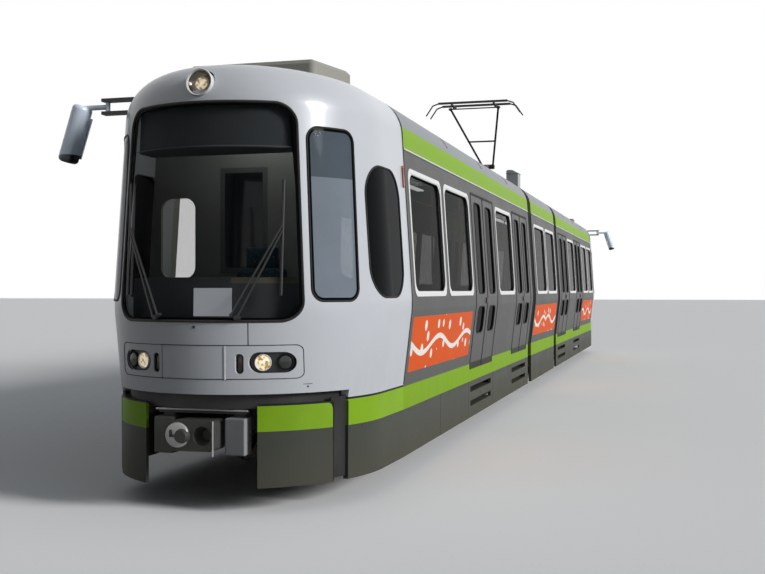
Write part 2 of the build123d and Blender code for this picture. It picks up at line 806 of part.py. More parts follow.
def middle_floor():
    wall_inside = half_width(SIDE_BASE_Z) - WALL
    deck = (FLOOR_Z - FLOOR_THICK, FLOOR_Z)
    with BuildPart() as floor:
        add(block((-SADDLE_X, SADDLE_X), (-wall_inside, wall_inside), deck))
        add(block((-BOLSTER_X, BOLSTER_X), (-BOLSTER_Y, BOLSTER_Y), (BODY_RING_Z, deck[0])))
        add(disc(0, 0, (BODY_RING_Z, deck[0]), RING_R))
        for side in (-1, 1):
            bar_y = sorted((side * SOLE_Y[0], side * SOLE_Y[1]))
            add(block((-SADDLE_X, SADDLE_X), bar_y, (BEAM_Z, deck[0])))
            add(disc(side * PIVOT_X, 0, deck, TURNTABLE_R))
            add(disc(side * PIVOT_X, 0, JOINT_LOWER_Z, JOINT_RING_R))
            reach = sorted((side * (PIVOT_X - TURNTABLE_R), side * PIVOT_X))
            add(block(reach, (-JOINT_ARM_Y, JOINT_ARM_Y), JOINT_LOWER_Z))
            ring_x = PIVOT_X - JOINT_RING_R - 2 * TURNTABLE_GAP
            beam = sorted((side * (PIVOT_X - TURNTABLE_R), side * ring_x))
            add(block(beam, (-SOLE_Y[1], SOLE_Y[1]), (JOINT_LOWER_Z[0], deck[0])))
    return floor.part


def skirt_joints(section):
    """X of the grooves between skirt panels, midway along the window and door pillars."""
    if section == "middle":
        return [0.0]
    return [SEAM_X - start + PILLAR / 2 for kind, start, length in END_BAYS[1:]]


def saloon_skirt(section):
    """Left skirt under the saloon, with panel grooves, step slots and step treads."""
    rear, front = section_ends(section)
    outside = half_width(SIDE_BASE_Z)
    with BuildPart() as skirt:
        add(block((rear, front - FIT), (outside - SKIRT_THICK, outside), (SKIRT_Z, SIDE_BASE_Z)))
        for x in skirt_joints(section):
            groove = (x - SKIRT_JOINT / 2, x + SKIRT_JOINT / 2)
            add(block(groove, (outside - SKIRT_JOINT, outside), (SKIRT_Z, SIDE_BASE_Z)), mode=Mode.SUBTRACT)
        for x0, x1 in bays_of(section, "door"):
            span = (x0 + STEP_INSET, x1 - STEP_INSET)
            for z in STEP_SLOTS_Z:
                slot = (z - STEP_SLOT_HIGH / 2, z + STEP_SLOT_HIGH / 2)
                add(block(span, (outside - 2 * SKIRT_THICK, outside), slot), mode=Mode.SUBTRACT)
                tread = (slot[0] - STEP_THICK, slot[0])
                add(block(span, (outside - STEP_DEEP, outside - SKIRT_THICK / 2), tread))
    return skirt.part


def cab_skirts():
    """Curved skirts of the cab: one under each flank and one at each front corner."""
    with BuildPart() as skirts:
        with BuildSketch(Plane.XY.offset(SKIRT_Z)):
            add(cab_plan(SIDE_BASE_Z, 0))
            add(cab_plan(SIDE_BASE_Z, SKIRT_THICK), mode=Mode.SUBTRACT)
        extrude(amount=CAB_BASE_Z - SKIRT_Z)
        full = (0, CAB_BASE_Z)
        wide = (-2 * NOSE_DEPTH, 2 * NOSE_DEPTH)
        back = (SEAM_X, SEAM_X + FIT)
        add(block(back, (-half_width(SIDE_BASE_Z), half_width(SIDE_BASE_Z)), full), mode=Mode.SUBTRACT)
        add(block(SKIRT_BREAK, wide, full), mode=Mode.SUBTRACT)
        add(block((LIP_X, NOSE_X), (-BAY_HALF, BAY_HALF), full), mode=Mode.SUBTRACT)
        add(block((LIP_X, NOSE_X), wide, (CORNER_SKIRT_Z, CAB_BASE_Z)), mode=Mode.SUBTRACT)
    return skirts.part


def end_skirts():
    with BuildPart() as skirts:
        add(mirrored(saloon_skirt("end")))
        add(cab_skirts())
    return skirts.part


# Running gear


def wheelset(x):
    """One axle with its two wheels, turned about the axle's own line."""
    inner = BACK_TO_BACK / 2
    outer = inner + WHEEL_WIDE
    rim = WHEEL_R - RIM_DEEP
    web = (inner + WEB[0] * WHEEL_WIDE, inner + WEB[1] * WHEEL_WIDE)
    crest = WHEEL_R + FLANGE
    step = BOGIE_BEAM_Y[0] - JOURNAL_STEP
    side = [
        (inner - HUB_PROUD, AXLE_R),
        (inner - HUB_PROUD, HUB_R),
        (web[0] - WEB_TAPER, HUB_R),
        (web[0], rim),
        (inner, rim),
        (inner, crest - FLANGE_ROUND),
        (inner + FLANGE_ROUND, crest),
        (inner + FLANGE_CREST, crest),
        (inner + FLANGE_ROOT, WHEEL_R + TREAD_RISE[0]),
        (outer, WHEEL_R + TREAD_RISE[1]),
        (outer, rim),
        (web[1], rim),
        (web[1] + WEB_TAPER, HUB_R),
        (outer + HUB_PROUD, HUB_R),
        (outer + HUB_PROUD, AXLE_R),
        (step, AXLE_R),
        (step, JOURNAL_R),
        (AXLE_END_Y, JOURNAL_R),
        (AXLE_END_Y, 0),
    ]
    other = [(-y, r) for y, r in reversed(side)]
    with BuildPart() as turned:
        with BuildSketch(Plane(origin=(x, 0, AXLE_Z), x_dir=(0, 1, 0), z_dir=(1, 0, 0))):
            Polygon(*side, *other, align=None)
        revolve(axis=Axis((x, 0, AXLE_Z), (0, 1, 0)))
    return turned.part


def axle_box(x, side):
    """Bearing housing of one journal, hung under the side beam."""
    y = sorted((side * BOGIE_BEAM_Y[0], side * AXLE_BOX_Y))
    with BuildPart(mode=Mode.PRIVATE) as housing:
        add(block((x - AXLE_BOX, x + AXLE_BOX), y, (AXLE_Z - AXLE_BOX, BOGIE_BEAM_Z[0])))
        journal = rod((x, 0, AXLE_Z), (x, side * (AXLE_END_Y + FIT), AXLE_Z), JOURNAL_R + FIT)
        add(journal, mode=Mode.SUBTRACT)
    return housing.part


def bogie_frame(x, powered):
    """Welded frame with axle boxes, springs, slewing ring, track brakes and motors."""
    with BuildPart() as frame:
        for side in (-1, 1):
            y = sorted((side * BOGIE_BEAM_Y[0], side * BOGIE_BEAM_Y[1]))
            add(block((x - BOGIE_HALF_LENGTH, x + BOGIE_HALF_LENGTH), y, BOGIE_BEAM_Z))
            add(disc(x, side * SPRING_Y, (BOGIE_BEAM_Z[1], BODY_RING_Z - FIT), SPRING_R))
            brake = sorted((side * BRAKE_Y[0], side * BRAKE_Y[1]))
            add(block((x - BRAKE_HALF, x + BRAKE_HALF), brake, BRAKE_Z))
            hanger = sorted((side * BRAKE_Y[0], side * BOGIE_BEAM_Y[1]))
            for end in (-1, 1):
                hanger_x = (x + end * HANGER_X - HANGER_WIDE, x + end * HANGER_X + HANGER_WIDE)
                add(block(hanger_x, brake, (BRAKE_Z[1], BOGIE_BEAM_Z[0])))
                add(block(hanger_x, hanger, (BOGIE_BEAM_Z[0] - HANGER_WIDE, BOGIE_BEAM_Z[0])))
                add(axle_box(x + end * AXLE_X, side))
        add(block((x - BOLSTER_X, x + BOLSTER_X), (-BOGIE_BEAM_Y[1], BOGIE_BEAM_Y[1]), BOLSTER_Z))
        add(disc(x, 0, (BOLSTER_Z[1], BODY_RING_Z - FIT), RING_R))
        if powered:
            for end in (-1, 1):
                gear_x = x + end * AXLE_X
                add(rod((x, 0, MOTOR_Z), (gear_x - end * GEAR_HALF, 0, MOTOR_Z), MOTOR_R))
                gear_z = (AXLE_Z - GEAR_HALF, AXLE_Z + GEAR_HALF)
                add(block((gear_x - GEAR_HALF, gear_x + GEAR_HALF), (-GEAR_HALF, GEAR_HALF), gear_z))
                axle = rod((gear_x, -WHEEL_R, AXLE_Z), (gear_x, WHEEL_R, AXLE_Z), AXLE_R + FIT)
                add(axle, mode=Mode.SUBTRACT)
    return frame.part


# Articulation


def bellows(side):
    """Pleated tube of the body's outline around one articulation."""
    start = side * PIVOT_X - PORTAL_GAP + FIT
    length = 2 * (PORTAL_GAP - FIT)
    pitch = length / (2 * BELLOWS_FOLDS + 1)
    inside = body_section(BELLOWS_INSET[1] + BELLOWS_THICK, BELLOWS_BASE_Z + BELLOWS_THICK)
    with BuildPart() as tube:
        for fold in range(2 * BELLOWS_FOLDS + 1):
            inset = BELLOWS_INSET[fold % 2]
            with BuildSketch(Plane.YZ.offset(start + fold * pitch)):
                add(body_section(inset, BELLOWS_BASE_Z))
                add(inside, mode=Mode.SUBTRACT)
            extrude(amount=pitch)
    return tube.part


# Coupler, mirror and cab fittings


def coupler():
    """Drawbar and automatic head: face plate with cone and cup, electric boxes at its sides."""
    back = COUPLER_FACE_X - COUPLER_HEAD
    box_back = COUPLER_FACE_X - COUPLER_HEAD / 2
    centre = COUPLER_Z
    with BuildPart() as draft:
        eye = (centre - COUPLER_EYE, centre + COUPLER_EYE)
        add(disc(COUPLER_PIVOT_X, 0, eye, COUPLER_EYE))
        add(rod((COUPLER_PIVOT_X, 0, centre), (back + COUPLER_ARM, 0, centre), COUPLER_BAR_R))
        add(disc(COUPLER_PIVOT_X, 0, eye, COUPLER_PIN_R + FIT), mode=Mode.SUBTRACT)
        with BuildSketch(Plane.YZ.offset(back)):
            with Locations((0, centre)):
                RectangleRounded(2 * COUPLER_PLATE[0], 2 * COUPLER_PLATE[1], COUPLER_CORNER)
        head = extrude(amount=COUPLER_HEAD)
        chamfer(head.faces().sort_by(Axis.X)[0].edges(), length=COUPLER_BEVEL)
        with BuildSketch(Plane.YZ.offset(COUPLER_FACE_X)):
            with Locations((COUPLER_CONE_Y, centre)):
                Circle(COUPLER_CONE_R + COUPLER_RIM)
        extrude(amount=-COUPLER_CONE_LONG, taper=COUPLER_TAPER, mode=Mode.SUBTRACT)
        with BuildSketch(Plane.YZ.offset(COUPLER_FACE_X - FIT)):
            with Locations((-COUPLER_CONE_Y, centre)):
                Circle(COUPLER_CONE_R)
        extrude(amount=COUPLER_CONE_LONG / 2, taper=COUPLER_TAPER)
        rail = (centre - COUPLER_ARM, centre + COUPLER_ARM)
        add(block((back, back + 2 * COUPLER_ARM), (-COUPLER_BOX_Y[1], COUPLER_BOX_Y[1]), rail))
        for side in (-1, 1):
            y = sorted((side * COUPLER_BOX_Y[0], side * COUPLER_BOX_Y[1]))
            add(block((back, box_back), y, COUPLER_BOX_Z))
            post = (back, back + COUPLER_ARM)
            add(block(post, (y[0] + COUPLER_ARM, y[1] - COUPLER_ARM), (COUPLER_BOX_Z[1], COUPLER_TOP_Z[0])))
        add(block((back, back + 2 * COUPLER_ARM), (-COUPLER_TOP_HALF, COUPLER_TOP_HALF), COUPLER_TOP_Z))
    return draft.part


def mirror_arm():
    """Outer mirror: swivelling arm and a round-backed housing that hangs from it."""
    (top_y, top_z), (foot_y, foot_z) = MIRROR_TOP, MIRROR_FOOT
    lean = Vector(0, foot_y - top_y, foot_z - top_z).normalized()
    with BuildPart() as arm:
        with BuildSketch(Plane(origin=(MIRROR_X, top_y, top_z + MIRROR_ARM_R), x_dir=(1, 0, 0), z_dir=lean)):
            SlotOverall(MIRROR_R * MIRROR_LONG, MIRROR_R * 2)
        extrude(amount=Vector(0, foot_y - top_y, foot_z - top_z).length)
        ends = arm.faces().sort_by(Axis.Z)
        fillet(ends[0].edges() + ends[-1].edges(), radius=MIRROR_R / 2)
        add(disc(MIRROR_X, MIRROR_PIVOT_Y, (top_z - MIRROR_PIN_HIGH, top_z + MIRROR_PIN_HIGH), MIRROR_PIN_R))
        add(rod((MIRROR_X, MIRROR_PIVOT_Y, top_z), (MIRROR_X, top_y, top_z), MIRROR_ARM_R))
    return arm.part


def nose_point(y, z, proud):
    """Point on the nose's outer face at y and z, standing proud of it."""
    shoulder = half_width(z) * NOSE_WAIST
    start = NOSE_X - NOSE_DEPTH
    depth = tip_x(z) - start
    reach = sqrt(1 - (y / shoulder) ** 2)
    normal = Vector(reach / depth, y / shoulder**2, 0).normalized()
    return (start + depth * reach + normal.X * proud, y + normal.Y * proud, z)


def fittings(outer):
    """Black fittings on the cab: two wipers and the bracket that carries the mirror."""
    with BuildPart() as parts:
        for side in (-1, 1):
            foot = (side * WIPER_FOOT[0], WIPER_FOOT[1])
            tip = (side * WIPER_TIP[0], WIPER_TIP[1])
            for shift in (0, WIPER_TWIN):
                start = nose_point(foot[0] - side * shift, foot[1] + shift / 2, WIPER_PROUD)
                end = nose_point(tip[0], tip[1] + shift, WIPER_PROUD)
                add(rod(start, end, WIPER_R))
                root = nose_point(foot[0] - side * shift, foot[1] + shift / 2, WIPER_ROOT)
                add(rod(root, start, WIPER_POST_R))
            low, high = WIPER_BLADE_Z
            blade_y = side * WIPER_TIP[0]
            add(rod(nose_point(blade_y, low, WIPER_PROUD), nose_point(blade_y, high, WIPER_PROUD), WIPER_R))
            add(rod(nose_point(blade_y, low, WIPER_R), nose_point(blade_y, high, WIPER_R), WIPER_R))
        post = MIRROR_PIN_R + MIRROR_ARM_R
        reach = (MIRROR_PIVOT_Y - post, -half_width(ROOF_Z) + 2 * WALL)
        for z in (MIRROR_TOP[1] - MIRROR_BRACKET, MIRROR_TOP[1] + MIRROR_PIN_HIGH + FIT):
            add(block((MIRROR_X - post, MIRROR_X + post), reach, (z, z + MIRROR_PLATE)))
        add(outer, mode=Mode.SUBTRACT)
    return parts.part


# Furniture and roof gear


def apron():
    """Curved wall that closes the nose's foot, from the deck up behind the lamps."""
    with BuildPart(mode=Mode.PRIVATE) as wall:
        with BuildSketch(Plane.XY.offset(FLOOR_Z)):
            add(cab_plan(SIDE_BASE_Z, APRON_INSET))
            add(cab_plan(SIDE_BASE_Z, APRON_INSET + SKIRT_THICK), mode=Mode.SUBTRACT)
            with Locations((LIP_X, 0)):
                Rectangle(3 * NOSE_DEPTH, 3 * NOSE_DEPTH, align=(Align.MAX, Align.CENTER), mode=Mode.SUBTRACT)
        extrude(amount=APRON_Z - FLOOR_Z)
    return wall.part


def cab_furniture():
    """Apron, desk across the nose, driver's seat and the display box over the windscreen."""
    wide = (-NOSE_DEPTH, NOSE_DEPTH)
    with BuildPart() as display:
        add(block((DISPLAY_X, NOSE_X), (-DISPLAY_HALF, DISPLAY_HALF), (DISPLAY_Z, ROOF_Z)))
        add(cab_form(WALL + FIT), mode=Mode.INTERSECT)
        add(top_lamp_barrel(FIT), mode=Mode.SUBTRACT)
    with BuildPart() as desk:
        add(cab_form(DESK_INSET, FLOOR_Z))
        add(block((DESK_X, NOSE_X), wide, (FLOOR_Z, DESK_Z)), mode=Mode.INTERSECT)
        add(display.part)
        add(apron())
        add(disc(DRIVER_X, 0, (FLOOR_Z, DRIVER_Z), DRIVER_POST_R))
        half, thick = DRIVER_SEAT
        rear = DRIVER_X - half
        add(block((rear, DRIVER_X + half), (-half, half), (DRIVER_Z, DRIVER_Z + thick)))
        level = DRIVER_Z
        for wide_half, deep, tall in (DRIVER_BACK, DRIVER_REST):
            back = (rear - DRIVER_BACK[1], rear - DRIVER_BACK[1] + deep)
            add(block(back, (-wide_half, wide_half), (level, level + tall)))
            level += tall
    return desk.part


def partition():
    """Wall between cab and saloon with a window either side of its door."""
    with BuildPart() as wall:
        add(cab_form(WALL + FIT, FLOOR_Z))
        slice_x = (PARTITION_X, PARTITION_X + PARTITION_THICK)
        add(block(slice_x, (-NOSE_DEPTH, NOSE_DEPTH), (FLOOR_Z, ROOF_Z)), mode=Mode.INTERSECT)
        with BuildSketch(Plane.YZ.offset(PARTITION_X)):
            for side in (-1, 1):
                y = side * (PARTITION_PANE_Y[0] + PARTITION_PANE_Y[1]) / 2
                with Locations((y, (PARTITION_PANE_Z[0] + PARTITION_PANE_Z[1]) / 2)):
                    RectangleRounded(
                        PARTITION_PANE_Y[1] - PARTITION_PANE_Y[0],
                        PARTITION_PANE_Z[1] - PARTITION_PANE_Z[0],
                        WINDOW_CORNER,
                    )
        extrude(amount=PARTITION_THICK, mode=Mode.SUBTRACT)
    return wall.part


def bench(x, facing):
    """Left-hand double seat: pedestal, cushion and backrest in one moulding."""
    with BuildPart(mode=Mode.PRIVATE) as seat:
        with BuildSketch(Plane.XZ.offset(-SEAT_Y[1])):
            Polygon(*[(x + facing * u, SEAT_Z + rise) for u, rise in SEAT_OUTLINE], align=None)
        extrude(amount=SEAT_Y[1] - SEAT_Y[0])
    return seat.part


def benches(section):
    table = END_SEATS if section == "end" else MIDDLE_SEATS
    origin = SEAM_X if section == "end" else 0
    with BuildPart() as rows:
        for start, facing in table:
            x = origin - start if section == "end" else start
            add(bench(x, facing))
    return mirrored(rows.part)


def roof_box(outer):
    """Ventilation unit on the roof behind the windscreen, its foot cut to the roof's curve."""
    (front_x, front_half), (rear_x, rear_half) = ROOF_BOX_ENDS
    foot = ROOF_Z - 2 * ROOF_CROWN
    with BuildPart() as unit:
        with BuildSketch(Plane.XY.offset(foot)) as plan:
            Polygon(
                (front_x, -front_half),
                (front_x, front_half),
                (rear_x, rear_half),
                (rear_x, -rear_half),
                align=None,
            )
            fillet(plan.vertices(), radius=ROOF_BOX_CORNER)
        extrude(amount=ROOF_BOX_Z - foot)
        chamfer(unit.faces().sort_by(Axis.Z)[-1].edges(), length=ROOF_BOX_BEVEL)
        add(outer, mode=Mode.SUBTRACT)
    return unit.part


def drive_section():
    """Cross-section of the drive housing, its outer top edge sloped."""
    foot = ROOF_Z - ROOF_CROWN
    inner, outer = DRIVE_Y
    down, along = DRIVE_SLOPE
    with BuildSketch() as section:
        Polygon(
            (inner, foot),
            (outer, foot),
            (outer, DRIVE_Z - down),
            (outer - along, DRIVE_Z),
            (inner, DRIVE_Z),
            align=None,
        )
        fillet(section.vertices().sort_by(Axis.Y)[-3:], radius=DRIVE_CORNER)
    return section.sketch


def drive_housing():
    """Closed housing of the pantograph's drive, its foot cut to the roof's curve."""
    rear, front = DRIVE_X
    with BuildPart() as housing:
        with BuildSketch(Plane.YZ.offset(rear)):
            add(drive_section())
        extrude(amount=front - rear)
        add(roof_form(-SADDLE_X, SADDLE_X), mode=Mode.SUBTRACT)
    return housing.part


# Pantograph


def raised(start, length, rise, way):
    """End of an arm in the XZ plane, from its start, length and rise in degrees."""
    x, z = start
    return x + way * length * cos(radians(rise)), z + length * sin(radians(rise))


PAN_KNEE = raised(PAN_BASE, PAN_LOWER, PAN_LOWER_RISE, -1)
PAN_HEAD = raised(PAN_KNEE, PAN_UPPER, PAN_UPPER_RISE, 1)


def cross_bar(at, half, radius):
    x, z = at
    return rod((x, -half, z), (x, half, z), radius)


def roof_gear():
    """Pantograph base: insulators, a frame and the bearings of the lower arm."""
    x, z = PAN_BASE
    rail_z = (PAN_RAIL_Z, PAN_RAIL_Z + PAN_RAIL)
    with BuildPart() as base:
        for foot_x in (x - PAN_FOOT_X, x + PAN_RAIL):
            for side in (-1, 1):
                y = side * PAN_FOOT_Y
                add(disc(foot_x, y, (ROOF_Z - ROOF_CROWN, rail_z[0]), PAN_POST_R))
                for ring in range(PAN_SHEDS):
                    shed_z = ROOF_Z + PAN_SHED[2] + ring * PAN_SHED_PITCH
                    add(disc(foot_x, y, (shed_z, shed_z + PAN_SHED[1]), PAN_SHED[0]))
            add(block((foot_x - PAN_RAIL / 2, foot_x + PAN_RAIL / 2), (-PAN_FOOT_Y, PAN_FOOT_Y), rail_z))
        for side in (-1, 1):
            y = (side * PAN_FOOT_Y - PAN_RAIL / 2, side * PAN_FOOT_Y + PAN_RAIL / 2)
            add(block((x - PAN_FOOT_X - PAN_RAIL / 2, x + 1.5 * PAN_RAIL), y, rail_z))
            ear = sorted((side * PAN_EAR_Y[0], side * PAN_EAR_Y[1]))
            shelf = sorted((side * PAN_EAR_Y[0], side * PAN_FOOT_Y))
            add(block((x - PAN_EAR, x + PAN_EAR), shelf, rail_z))
            add(block((x - PAN_EAR, x + PAN_EAR), ear, (rail_z[0], z + PAN_EAR)))
        add(cross_bar(PAN_BASE, 2 * PAN_FOOT_Y, PAN_SHAFT_R + FIT), mode=Mode.SUBTRACT)
        add(roof_form(-SADDLE_X, SADDLE_X), mode=Mode.SUBTRACT)
    return base.part


def lower_arm():
    with BuildPart() as arm:
        add(cross_bar(PAN_BASE, PAN_EAR_Y[0] - PAN_PLAY, PAN_HUB_R))
        add(rod((PAN_BASE[0], 0, PAN_BASE[1]), (PAN_KNEE[0], 0, PAN_KNEE[1]), PAN_TUBE_R))
        add(cross_bar(PAN_KNEE, PAN_KNEE_Y[0] - PAN_PLAY, PAN_HUB_R))
        add(cross_bar(PAN_BASE, PAN_EAR_Y[1] + PAN_PLAY, PAN_SHAFT_R))
        add(cross_bar(PAN_KNEE, PAN_KNEE_Y[1] + PAN_PLAY, PAN_SHAFT_R))
    return arm.part


def upper_arm():
    """Two tubes that spread from the knee to the head, with a tie and a guide rod."""
    with BuildPart() as arm:
        for side in (-1, 1):
            knee = (PAN_KNEE[0], side * (PAN_KNEE_Y[0] + PAN_KNEE_Y[1]) / 2, PAN_KNEE[1])
            head = (PAN_HEAD[0], side * PAN_HEAD_Y, PAN_HEAD[1])
            add(rod(knee, head, PAN_SLIM_R))
            sleeve = (side * PAN_KNEE_Y[0], side * PAN_KNEE_Y[1])
            add(rod((knee[0], sleeve[0], knee[2]), (knee[0], sleeve[1], knee[2]), PAN_HUB_R))
            hub_r, hub_half = PAN_HEAD_HUB
            hub = sorted((side * (PAN_HEAD_Y - hub_half), side * (PAN_HEAD_Y + hub_half)))
            add(rod((head[0], hub[0], head[2]), (head[0], hub[1], head[2]), hub_r))
        tie = raised(PAN_KNEE, PAN_UPPER * PAN_TIE_AT, PAN_UPPER_RISE, 1)
        spread = PAN_KNEE_Y[1] + (PAN_HEAD_Y - PAN_KNEE_Y[1]) * PAN_TIE_AT
        add(cross_bar(tie, spread, PAN_TIE_R))
        add(cross_bar(PAN_KNEE, 2 * PAN_HEAD_Y, PAN_SHAFT_R + FIT), mode=Mode.SUBTRACT)
        add(cross_bar(PAN_HEAD, 2 * PAN_HEAD_Y, PAN_PIN_R + FIT), mode=Mode.SUBTRACT)
    return arm.part


def ball(at, radius):
    with BuildPart(mode=Mode.PRIVATE) as knob:
        with Locations(at):
            Sphere(radius)
    return knob.part


def pan_head():
    """Head with two contact strips, their end horns and the pivot shaft under them."""
    x, z = PAN_HEAD
    strip_z = (z + PAN_STRIP_RISE, z + PAN_STRIP_RISE + PAN_STRIP[1])
    with BuildPart() as head:
        add(cross_bar(PAN_HEAD, PAN_HEAD_Y + PAN_SHAFT_OVERHANG, PAN_PIN_R))
        half, high = PAN_SPAR
        reach = (PAN_STRIP_GAP + PAN_STRIP[0]) / 2
        for side in (-1, 1):
            y = side * (PAN_HEAD_Y - PAN_SPAR_INSET)
            add(block((x - reach, x + reach), (y - half, y + half), (strip_z[0] - high, strip_z[0])))
            add(block((x - half, x + half), (y - half, y + half), (z, strip_z[0])))
        for way in (-1, 1):
            strip_x = x + way * PAN_STRIP_GAP / 2
            limits = (strip_x - PAN_STRIP[0] / 2, strip_x + PAN_STRIP[0] / 2)
            add(block(limits, (-PAN_HEAD_HALF, PAN_HEAD_HALF), strip_z))
            for side in (-1, 1):
                horn_z = (strip_z[0] + strip_z[1]) / 2
                start = (strip_x, side * (PAN_HEAD_HALF - PAN_HORN_ROOT), horn_z)
                bend = (strip_x, side * (PAN_HEAD_HALF + PAN_HORN_BEND[0]), horn_z - PAN_HORN_BEND[1])
                end = (strip_x, side * PAN_HORN_HALF, horn_z - PAN_HORN_DROP)
                add(rod(start, bend, PAN_HORN_R))
                add(rod(bend, end, PAN_HORN_R))
                add(ball(bend, PAN_HORN_R))
    return head.part


def main():
    os.makedirs("parts", exist_ok=True)
    outer = cab_form(0)
    backing = cab_form(SCREEN_THICK)
    write_ends("cab_shell", cab_shell(outer, cab_form(WALL)))
    write_ends("cab_glass", cab_glass(outer, backing))
    write_ends("lamps", lamps(outer, backing))
    write_ends("cab_fittings", fittings(outer))
    write_ends("cab_furniture", cab_furniture())
    write_ends("partition", partition())
    write_ends("sides", side_walls("end"))
    write_ends("roof", roof_shell("end"))
    write_ends("roof_box", roof_box(outer))
    write_ends("floor", end_floor())
    write_ends("underframe", end_underframe())
    write_ends("window_frames", window_frames("end"))
    write_ends("windows", saloon_glass("end"))
    write_ends("doors", doors())
    write_ends("skirts", end_skirts())
    write_ends("seats", benches("end"))
    write_ends("coupler", coupler())
    write_ends("mirror", mirror_arm())
    write_ends("bogie", bogie_frame(BOGIE_X, True))
    write_ends("wheelset_outer", wheelset(BOGIE_X + AXLE_X))
    write_ends("wheelset_inner", wheelset(BOGIE_X - AXLE_X))
    write("middle_sides", side_walls("middle"))
    write("middle_roof", roof_shell("middle"))
    write("middle_floor", middle_floor())
    write("middle_window_frames", window_frames("middle"))
    write("middle_windows", saloon_glass("middle"))
    write("middle_skirts", mirrored(saloon_skirt("middle")))
    write("middle_seats", benches("middle"))
    write("middle_bogie", bogie_frame(0, False))
    write("middle_wheelset_front", wheelset(AXLE_X))
    write("middle_wheelset_rear", wheelset(-AXLE_X))
    write("pantograph_base", roof_gear())
    write("pantograph_drive", drive_housing())
    write("pantograph_lower_arm", lower_arm())
    write("pantograph_upper_arm", upper_arm())
    write("pantograph_head", pan_head())
    write("front_bellows", bellows(1))
    write("rear_bellows", bellows(-1))


main()
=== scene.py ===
"""Finishes an articulated city tram: paint, glass, lamps, trim, seats and a plain studio.

Laid out as an add-on and run as a script. Metres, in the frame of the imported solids.
"""

from functools import partial
from math import cos, pi, radians, sin, sqrt, tau

import bpy
from mathutils import Matrix, Vector


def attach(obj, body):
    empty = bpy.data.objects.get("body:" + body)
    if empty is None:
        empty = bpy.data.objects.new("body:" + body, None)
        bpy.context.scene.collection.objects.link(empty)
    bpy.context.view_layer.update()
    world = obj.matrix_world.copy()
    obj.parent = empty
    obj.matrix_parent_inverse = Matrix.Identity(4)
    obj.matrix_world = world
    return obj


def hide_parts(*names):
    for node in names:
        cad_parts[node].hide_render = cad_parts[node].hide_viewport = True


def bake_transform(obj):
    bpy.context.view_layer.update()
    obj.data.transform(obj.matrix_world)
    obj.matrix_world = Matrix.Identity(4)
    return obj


bl_info = {
    "name": "City tram finishing",
    "version": (1, 0, 0),
    "blender": (4, 5, 0),
    "location": "3D View > Sidebar > Tram",
    "description": "Paints and details an articulated tram and sets it in a plain studio",
    "category": "Object",
}

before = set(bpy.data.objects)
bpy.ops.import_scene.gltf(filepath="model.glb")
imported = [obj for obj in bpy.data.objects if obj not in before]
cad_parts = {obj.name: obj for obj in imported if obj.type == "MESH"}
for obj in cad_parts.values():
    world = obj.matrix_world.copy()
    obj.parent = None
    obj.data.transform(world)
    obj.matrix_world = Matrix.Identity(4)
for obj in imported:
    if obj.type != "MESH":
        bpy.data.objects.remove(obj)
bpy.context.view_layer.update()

ENDS = ("front", "rear")
HALF_TURN = Matrix.Rotation(pi, 4, "Z")
MIRROR_Y = Matrix.Scale(-1, 4, (0, 1, 0))

# Body lines shared by paint and trim, in metres
SEAM_X = 10.72  # where the cab's silver ends on the flank
NOSE_X = 12.75
NOSE_DEPTH = 1.43
NOSE_WAIST = 0.985  # the cab's width against the saloon's
NOSE_START = NOSE_X - NOSE_DEPTH
PIVOT_X = 1.93
PORTAL_GAP = 0.205  # from a pivot to its portals
EAVE_Z = 3.20
ROOF_Z = 3.755
GREEN_LOW = (0.68, 0.90)
GREEN_HIGH = (3.20, 3.42)
PANEL_Z = (1.03, 1.57)
PANEL_END_X = (7.57, 10.60)
PANEL_MIDDLE_X = 1.62
# Heights where a pattern changes colour
SKIRT_EDGE_Z = 0.901
DOOR_FOOT_Z = 0.915
DESK_TOP_Z = 1.99
DESK_APRON_Z = 1.02
INSULATOR_Z = 3.935
MIRROR_FOOT_Z = 3.11

CORNER_SKIRT_X = 12.13  # rear edge of the corner skirts
CORNER_STRETCH = 1.5  # their surface runs this much faster than X

# Half width of the body by height, and the nose tip's setback by height
SIDE_PROFILE = [(0.68, 1.230), (0.90, 1.230), (1.64, 1.318), (1.76, 1.321), (3.76, 1.191)]
TIP_PROFILE = [(0.92, 0.012), (1.64, 0.0), (1.76, 0.002), (3.76, 0.110)]

# Panes: centre and half size across and up, then corner radius
SCREEN = ((0.0, 2.48), (0.838, 0.90), 0.17)
SCREEN_LEAN = 0.0506  # how much narrower a metre higher
CORNER_CHORD = ((12.345, 0.855), (11.935, 1.135))
CORNER_PANE = ((0.0, 2.471), (0.248, 0.729), 0.11)
SIDE_PANE = ((11.38, 2.355), (0.41, 0.585), 0.28)
SCREEN_FROM_X = 12.39
SIDE_PANE_TO_X = 11.87
BLIND_Z = 2.78  # the corner panes are darker over this
WINDOW = ((0.0, 2.40), (0.685, 0.585), 0.065)
WINDOWS_END = [9.87, 8.28, 4.90]  # middles of the windows of an end section
WINDOWS_MIDDLE = [0.795, -0.795]
DOORS = [6.59, 3.21]  # middles of the doorways
DOOR_HALF = 0.80
DOOR_Z = (0.83, 3.05)
DOOR_PANES = [((0.0, 2.375), (0.22, 0.585), 0.09), ((0.0, 1.455), (0.22, 0.17), 0.09)]

# Lamp strip and its slots on the left, across and up
LAMP_STRIP = ((0, 1.2475), (0.823, 0.1375), 0.05)
LAMP_SLOTS = [((0.436, 0.777), (1.158, 1.329)), ((0.337, 0.403), (1.153, 1.316))]
LAMP_Z = 1.243  # middle of the headlamps
SCREWS_X = (11.78, 11.10, 10.45, 9.75, 9.05, 8.35, 7.65, 5.60, 4.95, 4.30, 2.30)

